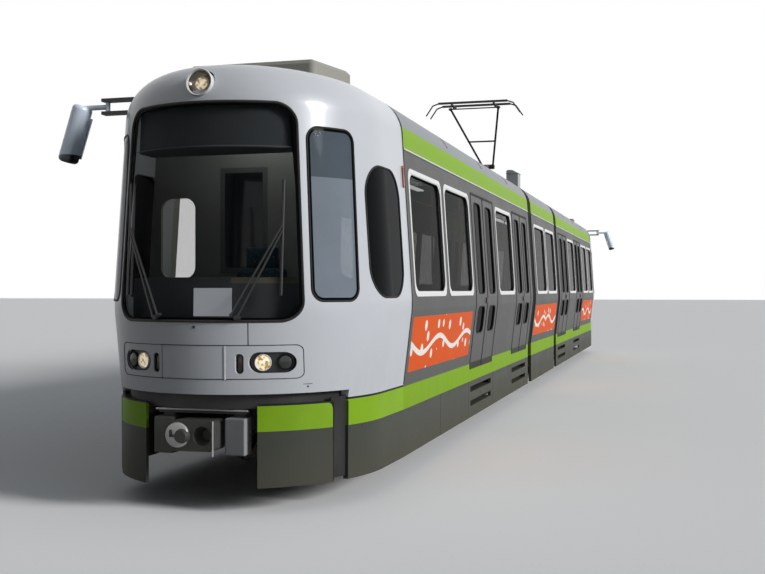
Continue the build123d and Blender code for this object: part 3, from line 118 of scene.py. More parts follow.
# Seats: front edge, and which way they face
SEATS_END = [(10.54, -1), (9.16, 1), (8.96, -1), (7.60, 1), (5.58, -1), (4.22, 1)]
SEATS_MIDDLE = [(1.48, -1), (0.06, 1), (-0.06, -1), (-1.48, 1)]
PAD_WAIST = 0.006  # how far a cushion's sides pull in

LINING = "#b7b6ad"  # inside of the saloon
GRIME = "#57503f"  # road and brake dust

# The ways the camera looks and the sun shines
CAMERA_WAY = Vector((-0.9626, -0.2708, 0.0033))
SUN_WAY = Vector((-0.11, -0.90, -0.35))


# Shape helpers


def between(table, height):
    """Value of a two-column table at one height."""
    for (z0, v0), (z1, v1) in zip(table, table[1:]):
        if height <= z1:
            break
    return v0 + (v1 - v0) * (height - z0) / (z1 - z0)


def side_y(z):
    return between(SIDE_PROFILE, z)


def nose_x(y, z):
    """X of the nose's outer face."""
    depth = NOSE_DEPTH - between(TIP_PROFILE, z)
    return NOSE_START + depth * sqrt(max(0.0, 1 - (y / (side_y(z) * NOSE_WAIST)) ** 2))


def flank_y(x, z):
    """Y of the cab's outer face on its left side."""
    if x < NOSE_START:
        return side_y(z) * (1 - (1 - NOSE_WAIST) * (x - SEAM_X) / (NOSE_START - SEAM_X))
    depth = NOSE_DEPTH - between(TIP_PROFILE, z)
    return side_y(z) * NOSE_WAIST * sqrt(max(0.0, 1 - ((x - NOSE_START) / depth) ** 2))


def corner_point(along, z):
    """Point of the nose's outer face over a place along the corner pane's chord."""
    (xa, ya), (xb, yb) = CORNER_CHORD
    run = Vector((xb - xa, yb - ya)).normalized()
    out = Vector((-run.y, run.x)) * -1
    x, y = Vector(((xa + xb) / 2, (ya + yb) / 2)) + run * along
    depth = NOSE_DEPTH - between(TIP_PROFILE, z)
    wide = side_y(z) * NOSE_WAIST
    u, v = (x - NOSE_START) / depth, y / wide
    p, q = out.x / depth, out.y / wide
    a, b, c = p * p + q * q, u * p + v * q, u * u + v * v - 1
    reach = (-b + sqrt(b * b - a * c)) / a
    return Vector((x + out.x * reach, y + out.y * reach, z))


def rim(pane, steps=7):
    """Points round a pane's rounded outline, across and up."""
    (cu, cv), (hu, hv), corner = pane
    points = []
    for quarter, (su, sv) in enumerate(((1, 1), (-1, 1), (-1, -1), (1, -1))):
        for step in range(steps + 1):
            turn = (quarter + step / steps) * pi / 2
            u = cu + su * (hu - corner) + corner * cos(turn)
            v = cv + sv * (hv - corner) + corner * sin(turn)
            points.append((u, v))
    dense = []
    for (u0, v0), (u1, v1) in zip(points, points[1:] + points[:1]):
        cuts = max(1, int(max(abs(u1 - u0), abs(v1 - v0)) / 0.08))
        dense += [(u0 + (u1 - u0) * k / cuts, v0 + (v1 - v0) * k / cuts) for k in range(cuts)]
    return dense


def corners(pane, steps=8):
    """Points round a pane's rounded corners alone, equally many for every pane."""
    (cu, cv), (hu, hv), corner = pane
    turns = [(q + k / steps) * pi / 2 for q in range(4) for k in range(steps + 1)]
    signs = [s for s in ((1, 1), (-1, 1), (-1, -1), (1, -1)) for k in range(steps + 1)]
    return [
        (cu + su * (hu - corner) + corner * cos(a), cv + sv * (hv - corner) + corner * sin(a))
        for (su, sv), a in zip(signs, turns)
    ]


def only(piece):
    bpy.ops.object.select_all(action="DESELECT")
    piece.select_set(True)
    bpy.context.view_layer.objects.active = piece


def shaped(piece, kind, **settings):
    """Adds a modifier and applies it."""
    only(piece)
    modifier = piece.modifiers.new(kind.lower(), kind)
    for name, value in settings.items():
        setattr(modifier, name, value)
    bpy.ops.object.modifier_apply(modifier=modifier.name)
    return piece


def smooth(piece, degrees):
    """Shades a piece smooth up to an angle between its faces."""
    only(piece)
    bpy.ops.object.shade_smooth_by_angle(angle=radians(degrees))
    return piece


def at(x, y, z):
    return Matrix.Translation((x, y, z))


def spun(degrees, axis):
    return Matrix.Rotation(radians(degrees), 4, axis)


def in_edit(piece, *steps):
    """Runs edit mode operators on everything in a piece."""
    only(piece)
    bpy.ops.object.mode_set(mode="EDIT")
    bpy.ops.mesh.select_all(action="SELECT")
    for operator, settings in steps:
        operator(**settings)
    bpy.ops.object.mode_set(mode="OBJECT")
    return piece


def outward(piece):
    return in_edit(
        piece,
        (bpy.ops.mesh.remove_doubles, {"threshold": 0.0002}),
        (bpy.ops.mesh.normals_make_consistent, {"inside": False}),
    )


def slab(low, high, edge=0.004, segments=2):
    """A block between two corners with its edges rounded."""
    bpy.ops.object.select_all(action="DESELECT")
    bpy.ops.mesh.primitive_cube_add(
        size=1,
        location=[(a + b) / 2 for a, b in zip(low, high)],
        scale=[b - a for a, b in zip(low, high)],
    )
    piece = bpy.context.object
    bpy.ops.object.transform_apply(location=True, rotation=True, scale=True)
    if edge:
        shaped(piece, "BEVEL", width=edge, segments=segments, limit_method="NONE")
    return piece


def meshed(points, faces, edges=()):
    """A piece from points and faces."""
    mesh = bpy.data.meshes.new("piece")
    mesh.from_pydata(points, edges, faces)
    piece = bpy.data.objects.new("piece", mesh)
    bpy.context.scene.collection.objects.link(piece)
    return piece


def lathe(profile, steps=32):
    """A turned piece about Z from its profile of radius and height."""
    rows = [(r, 0.0, h) for r, h in profile]
    piece = meshed(rows, [], [(i, i + 1) for i in range(len(rows) - 1)])
    about = {"steps": steps, "angle": tau, "center": (0, 0, 0), "axis": (0, 0, 1)}
    in_edit(piece, (bpy.ops.mesh.spin, about))
    return smooth(outward(piece), 35)


def tube(points, radius, closed=False, sides=3):
    """A round bar or cord of rubber along points."""
    curve = bpy.data.curves.new("run", "CURVE")
    curve.dimensions = "3D"
    spline = curve.splines.new("POLY")
    spline.points.add(len(points) - 1)
    for point, place in zip(spline.points, points):
        point.co = (*place, 1)
    spline.use_cyclic_u = closed
    curve.bevel_depth = radius
    curve.bevel_resolution = sides
    curve.use_fill_caps = True
    piece = bpy.data.objects.new("run", curve)
    bpy.context.scene.collection.objects.link(piece)
    only(piece)
    bpy.ops.object.convert(target="MESH")
    return smooth(outward(bpy.context.object), 40)


def moved(piece, matrix):
    """Puts a place or turn into the mesh itself."""
    piece.data.transform(matrix)
    if matrix.determinant() < 0:
        piece.data.flip_normals()
    piece.data.update()
    return piece


def twin(piece, matrix):
    """A copy with its own mesh, turned or mirrored."""
    other = piece.copy()
    other.data = piece.data.copy()
    bpy.context.scene.collection.objects.link(other)
    return moved(other, matrix)


def joined(pieces):
    bpy.ops.object.select_all(action="DESELECT")
    for piece in pieces:
        piece.select_set(True)
    bpy.context.view_layer.objects.active = pieces[0]
    if len(pieces) > 1:
        bpy.ops.object.join()
    return bpy.context.view_layer.objects.active


def both_sides(piece):
    return joined([piece, twin(piece, MIRROR_Y)])


def fitted(piece, name, material, body):
    """Names, paints and mounts one finished piece."""
    piece.name = name
    piece.data.name = name
    piece.data.materials.clear()
    piece.data.materials.append(MATERIALS[material])
    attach(piece, body)
    return piece


def at_both_ends(piece, name, material, body="section"):
    """Mounts a front piece, and a copy turned half round at the rear."""
    rear = twin(piece, HALF_TURN)
    return [
        fitted(piece, "front_" + name, material, "front_" + body),
        fitted(rear, "rear_" + name, material, "rear_" + body),
    ]


def leaned(piece, cuts=(0.90, 1.64, 1.76)):
    """Lays an upright piece, modelled against y = 0, onto the left side's outer face."""
    for z in cuts:
        in_edit(piece, (bpy.ops.mesh.bisect, {"plane_co": (0, 0, z), "plane_no": (0, 0, 1)}))
    for vertex in piece.data.vertices:
        vertex.co.y += side_y(vertex.co.z)
    piece.data.update()
    return piece


def node_copy(name, keep):
    """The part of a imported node's mesh whose loose pieces pass a test, as its own object."""
    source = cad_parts[name]
    piece = source.copy()
    piece.data = source.data.copy()
    piece.parent = None
    piece.matrix_world = Matrix.Identity(4)
    for key in list(piece.keys()):
        del piece[key]
    bpy.context.scene.collection.objects.link(piece)
    in_edit(
        piece,
        (bpy.ops.mesh.remove_doubles, {"threshold": 0.00001}),
        (bpy.ops.mesh.select_all, {"action": "DESELECT"}),
    )
    for vertex in piece.data.vertices:
        vertex.select = not keep(vertex.co)
    bpy.ops.object.mode_set(mode="EDIT")
    bpy.ops.mesh.delete(type="VERT")
    bpy.ops.object.mode_set(mode="OBJECT")
    return piece


def skin_normal(place, blur=0.12):
    """Direction the cab's outer face looks at a point of its sides, or None off that face."""
    x, y, z = place
    above, below = z + blur, z - blur
    wide = [side_y(h) * NOSE_WAIST for h in (below, z, above)]
    deep = [NOSE_DEPTH - between(TIP_PROFILE, h) for h in (below, z, above)]
    ahead = max(0.0, x - NOSE_START)
    form = [(ahead / d) ** 2 + (y / w) ** 2 for d, w in zip(deep, wide)]
    if not 0.92 < z < 3.30 or abs(form[1] - 1) > 0.035:
        return None
    rise = (form[2] - form[0]) / (2 * blur)
    return Vector((2 * ahead / deep[1] ** 2, 2 * y / wide[1] ** 2, rise)).normalized()


def skinned(piece):
    """Shades the cab's outer face as one smooth skin. Its rims and inside stay as they are."""
    mesh = piece.data
    normals = [corner.vector.copy() for corner in mesh.corner_normals]
    for face in mesh.polygons:
        for loop in face.loop_indices:
            smooth = skin_normal(mesh.vertices[mesh.loops[loop].vertex_index].co)
            if smooth and smooth.dot(face.normal) > 0.95:
                normals[loop] = smooth
    mesh.normals_split_custom_set(normals)
    return piece


def cut(piece, cutter, operation="DIFFERENCE"):
    """Cuts one piece with another, which is used up."""
    shaped(piece, "BOOLEAN", object=cutter, operation=operation, solver="EXACT")
    bpy.data.objects.remove(cutter)
    return piece


# Colour and material helpers


def linear(code):
    """An sRGB hex colour as linear RGBA."""
    parts = [int(code[i : i + 2], 16) / 255 for i in (1, 3, 5)]
    return [p / 12.92 if p < 0.04045 else ((p + 0.055) / 1.055) ** 2.4 for p in parts] + [1.0]


def feed(made, inputs):
    """Links or sets inputs of a node."""
    for key, value in dict(inputs).items():
        if isinstance(value, bpy.types.Node):
            value = next(o for o in value.outputs if o.enabled)
        if isinstance(value, bpy.types.NodeSocket):
            made.id_data.links.new(value, made.inputs[key])
        else:
            made.inputs[key].default_value = value
    return made


def node(tree, kind, inputs=(), **settings):
    """Adds a node with its settings, and links or sets its inputs."""
    made = tree.nodes.new("ShaderNode" + kind)
    for name, value in settings.items():
        setattr(made, name, value)
    return feed(made, inputs)


def blank(name):
    """A new material: itself, its shader, what adds nodes to it, and its object coordinates."""
    material = bpy.data.materials.new(name)
    material.use_nodes = True
    add = partial(node, material.node_tree)
    shader = material.node_tree.nodes["Principled BSDF"]
    return material, shader, add, add("TexCoord").outputs["Object"]


def finish(
    name, colour, metallic=0.0, roughness=0.5, specular=0.5, coat=0.0, glow=0.0,
    grain=4.0, mottle=0.06, relief=0.1, depth=0.2, grime=0.0, clean_above=0.9,
):
    """A surface whose colour and gloss wander. Grain and depth are in millimetres.

    The colour is a hex code or a pattern, which gives a colour and a cover.
    """
    material, shader, add, place = blank(name)
    base, cover = (linear(colour), 1.0) if isinstance(colour, str) else colour(add, place)
    fine = add("TexNoise", {"Vector": place, "Scale": 1000 / grain, "Detail": 3.0})
    broad = add("TexNoise", {"Vector": place, "Scale": 1.7, "Detail": 5.0, "Roughness": 0.6})
    shade = add("MapRange", {0: broad, 1: 0.3, 2: 0.7, 3: 1 - mottle, 4: 1 + mottle / 2})
    tint = add("Mix", {0: 1.0, 6: base, 7: shade}, data_type="RGBA", blend_type="MULTIPLY")
    gloss = add("MapRange", {0: broad, 1: 0.3, 2: 0.7, 3: roughness * 0.88, 4: roughness * 1.15})
    if grime:
        height = add("SeparateXYZ", {0: place}).outputs["Z"]
        low = add("MapRange", {0: height, 1: clean_above, 2: 0.2, 3: 0.0, 4: 1.0})
        stretched = add("Mapping", {0: place, 3: (3.0, 3.0, 0.5)})
        streaks = add("TexNoise", {"Vector": stretched, "Scale": 4.0, "Detail": 6.0, "Roughness": 0.7})
        dirt = add("MapRange", {0: streaks, 1: 0.35, 2: 0.75, 3: 0.15, 4: grime})
        laid = add("Math", {0: low, 1: dirt}, operation="MULTIPLY")
        tint = add("Mix", {0: laid, 6: tint, 7: linear(GRIME)}, data_type="RGBA")
        gloss = add("Math", {0: gloss, 1: laid}, operation="ADD", use_clamp=True)
    bump = add("Bump", {"Height": fine, "Strength": relief, "Distance": depth / 1000})
    feed(shader, {
        "Base Color": tint, "Roughness": gloss, "Normal": bump, "Alpha": cover, "Metallic": metallic,
        "Specular IOR Level": specular, "Coat Weight": coat, "Coat Roughness": 0.08,
    })
    if glow:
        feed(shader, {"Emission Color": tint, "Emission Strength": glow})
    return material


# Livery and glass patterns: each gives a colour, and a cover where the piece can be seen through


def span(low, high):
    """The middle and half of a span, as the inputs that a comparison takes."""
    return {1: (low + high) / 2, 2: (high - low) / 2}


def looks_out(add, axes):
    """Above zero where a wall looks outward, below it where it looks inward."""
    facing = add("SeparateXYZ", {0: add("TexCoord").outputs["Normal"]}).outputs["Y"]
    return add("Math", {0: facing, 1: axes.outputs["Y"]}, operation="MULTIPLY")


def lined(add, axes, colour):
    """A wall's colour outside and the light lining inside."""
    inside = add("Math", {0: looks_out(add, axes), 1: -0.1}, operation="LESS_THAN")
    return add("Mix", {0: inside, 6: colour, 7: linear(LINING)}, data_type="RGBA"), 1.0


def cab_livery(add, place):
    """Plain cab silver."""
    return [*bpy.context.scene.tram_paint.cab, 1], 1.0


def side_livery(add, place):
    """Green sill, orange panel with a white wave and dots, light lining on the inside."""
    paint = bpy.context.scene.tram_paint
    axes = add("SeparateXYZ", {0: place})
    along = add("Math", {0: axes.outputs["X"]}, operation="ABSOLUTE")
    z = axes.outputs["Z"]
    sill = add("Math", {0: z, **span(*GREEN_LOW)}, operation="COMPARE")
    colour = add("Mix", {0: sill, 6: [*paint.side, 1], 7: [*paint.green, 1]}, data_type="RGBA")
    rows = add("Math", {0: z, **span(*PANEL_Z)}, operation="COMPARE")
    ends = add("Math", {0: along, **span(*PANEL_END_X)}, operation="COMPARE")
    middle = add("Math", {0: along, 1: PANEL_MIDDLE_X}, operation="LESS_THAN")
    spans = add("Math", {0: ends, 1: middle}, operation="MAXIMUM")
    panel = add("Math", {0: rows, 1: spans}, operation="MULTIPLY")
    phase = add("Math", {0: along, 1: 4.2}, operation="MULTIPLY")
    swing = add("Math", {0: phase}, operation="SINE")
    crest = add("Math", {0: swing, 1: 0.075, 2: 1.27}, operation="MULTIPLY_ADD")
    wave = add("Math", {0: z, 1: crest, 2: 0.028}, operation="COMPARE")
    grid = add("Mapping", {0: place, 1: (0.0, 0.0, 0.03), 3: (4.4, 0.0, 4.4)})
    spots = add("TexVoronoi", {"Vector": grid, "Scale": 1.0, "Randomness": 0.55})
    dots = add("Math", {0: spots, 1: 0.24}, operation="LESS_THAN")
    motif = add("Math", {0: wave, 1: dots}, operation="MAXIMUM")
    printed = add("Mix", {0: motif, 6: [*paint.orange, 1], 7: linear("#e9e4dc")}, data_type="RGBA")
    return lined(add, axes, add("Mix", {0: panel, 6: colour, 7: printed}, data_type="RGBA"))


def door_livery(add, place):
    """Side silver outside with a dark foot, light lining inside."""
    axes = add("SeparateXYZ", {0: place})
    foot = add("Math", {0: axes.outputs["Z"], 1: DOOR_FOOT_Z}, operation="LESS_THAN")
    side = [*bpy.context.scene.tram_paint.side, 1]
    return lined(add, axes, add("Mix", {0: foot, 6: side, 7: linear("#2c2d2b")}, data_type="RGBA"))


def roof_livery(add, place):
    """Green band along the foot of the roof, grey silver over it."""
    paint = bpy.context.scene.tram_paint
    z = add("SeparateXYZ", {0: place}).outputs["Z"]
    band = add("Math", {0: z, **span(*GREEN_HIGH)}, operation="COMPARE")
    return add("Mix", {0: band, 6: [*paint.roof, 1], 7: [*paint.green, 1]}, data_type="RGBA"), 1.0


def skirt_livery(add, place):
    """Dark grey skirts whose top edge carries the green band, under a black edge."""
    paint = bpy.context.scene.tram_paint
    axes = add("SeparateXYZ", {0: place})
    z = axes.outputs["Z"]
    band = add("Math", {0: z, 1: GREEN_LOW[0]}, operation="GREATER_THAN")
    colour = add("Mix", {0: band, 6: [*paint.skirt, 1], 7: [*paint.green, 1]}, data_type="RGBA")
    x = add("Math", {0: axes.outputs["X"]}, operation="ABSOLUTE")
    along = add("Math", {0: x, 1: CORNER_STRETCH}, operation="MULTIPLY")
    corner = rim_distance(add, along, z, ((CORNER_SKIRT_X * CORNER_STRETCH + 1, 0.4), (1.0, 0.5), 0.075))
    outside = add("Math", {0: corner, 1: -0.012}, operation="GREATER_THAN")
    ahead = add("Math", {0: x, 1: CORNER_SKIRT_X - 0.02}, operation="GREATER_THAN")
    framed = add("Math", {0: outside, 1: ahead}, operation="MULTIPLY")
    over = add("Math", {0: z, 1: SKIRT_EDGE_Z}, operation="GREATER_THAN")
    edge = add("Math", {0: framed, 1: over}, operation="MAXIMUM")
    return add("Mix", {0: edge, 6: colour, 7: linear("#141514")}, data_type="RGBA"), 1.0


def floor_livery(add, place):
    """Speckled grey vinyl on top, dark paint below."""
    normal = add("SeparateXYZ", {0: add("TexCoord").outputs["Normal"]}).outputs["Z"]
    specks = add("TexNoise", {"Vector": place, "Scale": 60.0, "Detail": 2.0})
    vinyl = add("ValToRGB", {0: specks})
    for element, code in zip(vinyl.color_ramp.elements, ("#4c4e4f", "#7c7d7a")):
        element.color = linear(code)
    top = add("Math", {0: normal, 1: 0.7}, operation="GREATER_THAN")
    return add("Mix", {0: top, 6: linear("#2b2a28"), 7: vinyl}, data_type="RGBA"), 1.0


def two_tone(height, below, above):
    """A pattern of one colour below a height and another over it."""

    def pattern(add, place):
        z = add("SeparateXYZ", {0: place}).outputs["Z"]
        low = add("Math", {0: z, 1: height}, operation="LESS_THAN")
        return add("Mix", {0: low, 6: linear(above), 7: linear(below)}, data_type="RGBA"), 1.0

    return pattern


def desk_livery(add, place):
    """Dark desk, its right half sand coloured on top, over a black apron."""
    axes = add("SeparateXYZ", {0: place})
    swapped = add("Math", {0: axes.outputs["X"], 1: axes.outputs["Y"]}, operation="MULTIPLY")
    right = add("Math", {0: swapped, 1: 3.0}, operation="GREATER_THAN")
    top = add("Math", {0: axes.outputs["Z"], 1: DESK_TOP_Z, 2: 0.10}, operation="COMPARE")
    sand = add("Math", {0: right, 1: top}, operation="MULTIPLY")
    colour = add("Mix", {0: sand, 6: linear("#4b5053"), 7: linear("#7d7464")}, data_type="RGBA")
    low = add("Math", {0: axes.outputs["Z"], 1: DESK_APRON_Z}, operation="LESS_THAN")
    return add("Mix", {0: low, 6: colour, 7: linear("#0c0c0c")}, data_type="RGBA"), 1.0


def rim_distance(add, across, up, pane):
    """How far a point lies outside a pane's rounded outline, negative inside."""
    (cu, cv), (hu, hv), corner = pane
    place = add("CombineXYZ", {0: across, 1: up})
    centred = add("VectorMath", {0: place, 1: (cu, cv, 0)}, operation="SUBTRACT")
    folded = add("VectorMath", {0: centred}, operation="ABSOLUTE")
    past = add("VectorMath", {0: folded, 1: (hu - corner, hv - corner, 0)}, operation="SUBTRACT")
    over = add("VectorMath", {0: past, 1: (0, 0, 0)}, operation="MAXIMUM")
    far = add("VectorMath", {0: over}, operation="LENGTH")
    return add("Math", {0: far, 1: corner}, operation="SUBTRACT")


def cab_glazing(add, place):
    """Tinted cab glass with a black printed border. The corner panes carry a painted pale reflection,
    darker above a blind; the side panes are nearly opaque black, painted shade of the cab behind.
    """
    axes = add("SeparateXYZ", {0: place})
    x = add("Math", {0: axes.outputs["X"]}, operation="ABSOLUTE")
    y = add("Math", {0: axes.outputs["Y"]}, operation="ABSOLUTE")
    z = axes.outputs["Z"]
    foot = SCREEN[0][1] - SCREEN[1][1]
    rise = add("Math", {0: z, 1: SCREEN_LEAN, 2: -foot * SCREEN_LEAN}, operation="MULTIPLY_ADD")
    spread = add("Math", {0: y, 1: rise}, operation="ADD")
    screen = rim_distance(add, spread, z, SCREEN)
    (xa, ya), (xb, yb) = CORNER_CHORD
    run = Vector((xb - xa, yb - ya, 0)).normalized()
    middle = ((xa + xb) / 2, (ya + yb) / 2, 0)
    flat = add("CombineXYZ", {0: x, 1: y})
    shifted = add("VectorMath", {0: flat, 1: middle}, operation="SUBTRACT")
    along = add("VectorMath", {0: shifted, 1: run}, operation="DOT_PRODUCT").outputs["Value"]
    corner = rim_distance(add, along, z, CORNER_PANE)
    side = rim_distance(add, x, z, SIDE_PANE)
    ahead = add("Math", {0: x, 1: SCREEN_FROM_X}, operation="GREATER_THAN")
    behind = add("Math", {0: x, 1: SIDE_PANE_TO_X}, operation="LESS_THAN")
    edge = add("Mix", {0: ahead, 2: add("Mix", {0: behind, 2: corner, 3: side}), 3: screen})
    border = add("Math", {0: edge, 1: -0.028}, operation="GREATER_THAN")
    blind = add("Math", {0: z, 1: BLIND_Z}, operation="GREATER_THAN")
    # Painted reflection: the corner panes are mostly hidden under a pale blue-grey, darker above the
    # blind
    pale = add("Mix", {0: blind, 6: linear("#868f99"), 7: linear("#5a636c")}, data_type="RGBA")
    # Painted shade: the side panes take this near-black almost opaque for the dark cab behind; on the
    # screen it is only a light tint
    dark = linear("#0b0e10")
    flank = add("Mix", {0: behind, 6: pale, 7: dark}, data_type="RGBA")
    tinted = add("Mix", {0: ahead, 6: flank, 7: dark}, data_type="RGBA")
    colour = add("Mix", {0: border, 6: tinted, 7: linear("#08090a")}, data_type="RGBA")
    # How much each pane hides: the corner, the side and the screen, and the border all
    film = add("Mix", {0: ahead, 2: add("Mix", {0: behind, 2: 0.74, 3: 0.97}), 3: 0.26})
    return colour, add("Mix", {0: border, 2: film, 3: 1.0})


def saloon_glazing(add, place):
    """Tinted saloon glass with a printed black border: from outside nearly opaque near-black, painted
    shade of the saloon behind, and clear from inside.
    """
    axes = add("SeparateXYZ", {0: place})
    x = add("Math", {0: axes.outputs["X"]}, operation="ABSOLUTE")
    edge = None
    for middle in WINDOWS_END + WINDOWS_MIDDLE[:1]:
        found = rim_distance(add, x, axes.outputs["Z"], ((middle, WINDOW[0][1]), WINDOW[1], 0.13))
        edge = add("Math", {0: edge or found, 1: found}, operation="MINIMUM")
    border = add("Math", {0: edge, 1: -0.018}, operation="GREATER_THAN")
    colour = add("Mix", {0: border, 6: linear("#0a0d0e"), 7: linear("#060707")}, data_type="RGBA")
    inner = add("Math", {0: looks_out(add, axes), 1: 0.0}, operation="LESS_THAN")
    behind = add("NewGeometry").outputs["Backfacing"]
    clear = add("Math", {0: inner, 1: behind}, operation="MAXIMUM")
    # Painted shade: from outside the glass hides the saloon under near-black; from inside it is nearly
    # clear
    film = add("Mix", {0: clear, 2: 0.93, 3: 0.06})
    return colour, add("Mix", {0: border, 2: film, 3: 1.0})


def lens_pattern(add, place):
    """Lit bulb seen through a lens: warm, with bright flecks and a few dark ones."""
    ramp = add("ValToRGB", {0: add("TexNoise", {"Vector": place, "Scale": 36.0, "Detail": 1.0})})
    tones = ((0.42, "#fff3d2"), (0.62, "#a8824a"))
    for element, (position, code) in zip(ramp.color_ramp.elements, tones):
        element.color = linear(code)
        element.position = position
    return ramp, 1.0


def seat_weave(add, place):
    """Blue-grey moquette with small scattered flecks."""
    flecks = add("TexVoronoi", {"Vector": place, "Scale": 38.0})
    near = add("Math", {0: flecks, 1: 0.2}, operation="LESS_THAN")
    yarn = add("TexNoise", {"Vector": place, "Scale": 420.0})
    base = add("Mix", {0: yarn, 6: linear("#23404f"), 7: linear("#365a68")}, data_type="RGBA")
    return add("Mix", {0: near, 6: base, 7: linear("#b5763a")}, data_type="RGBA"), 1.0


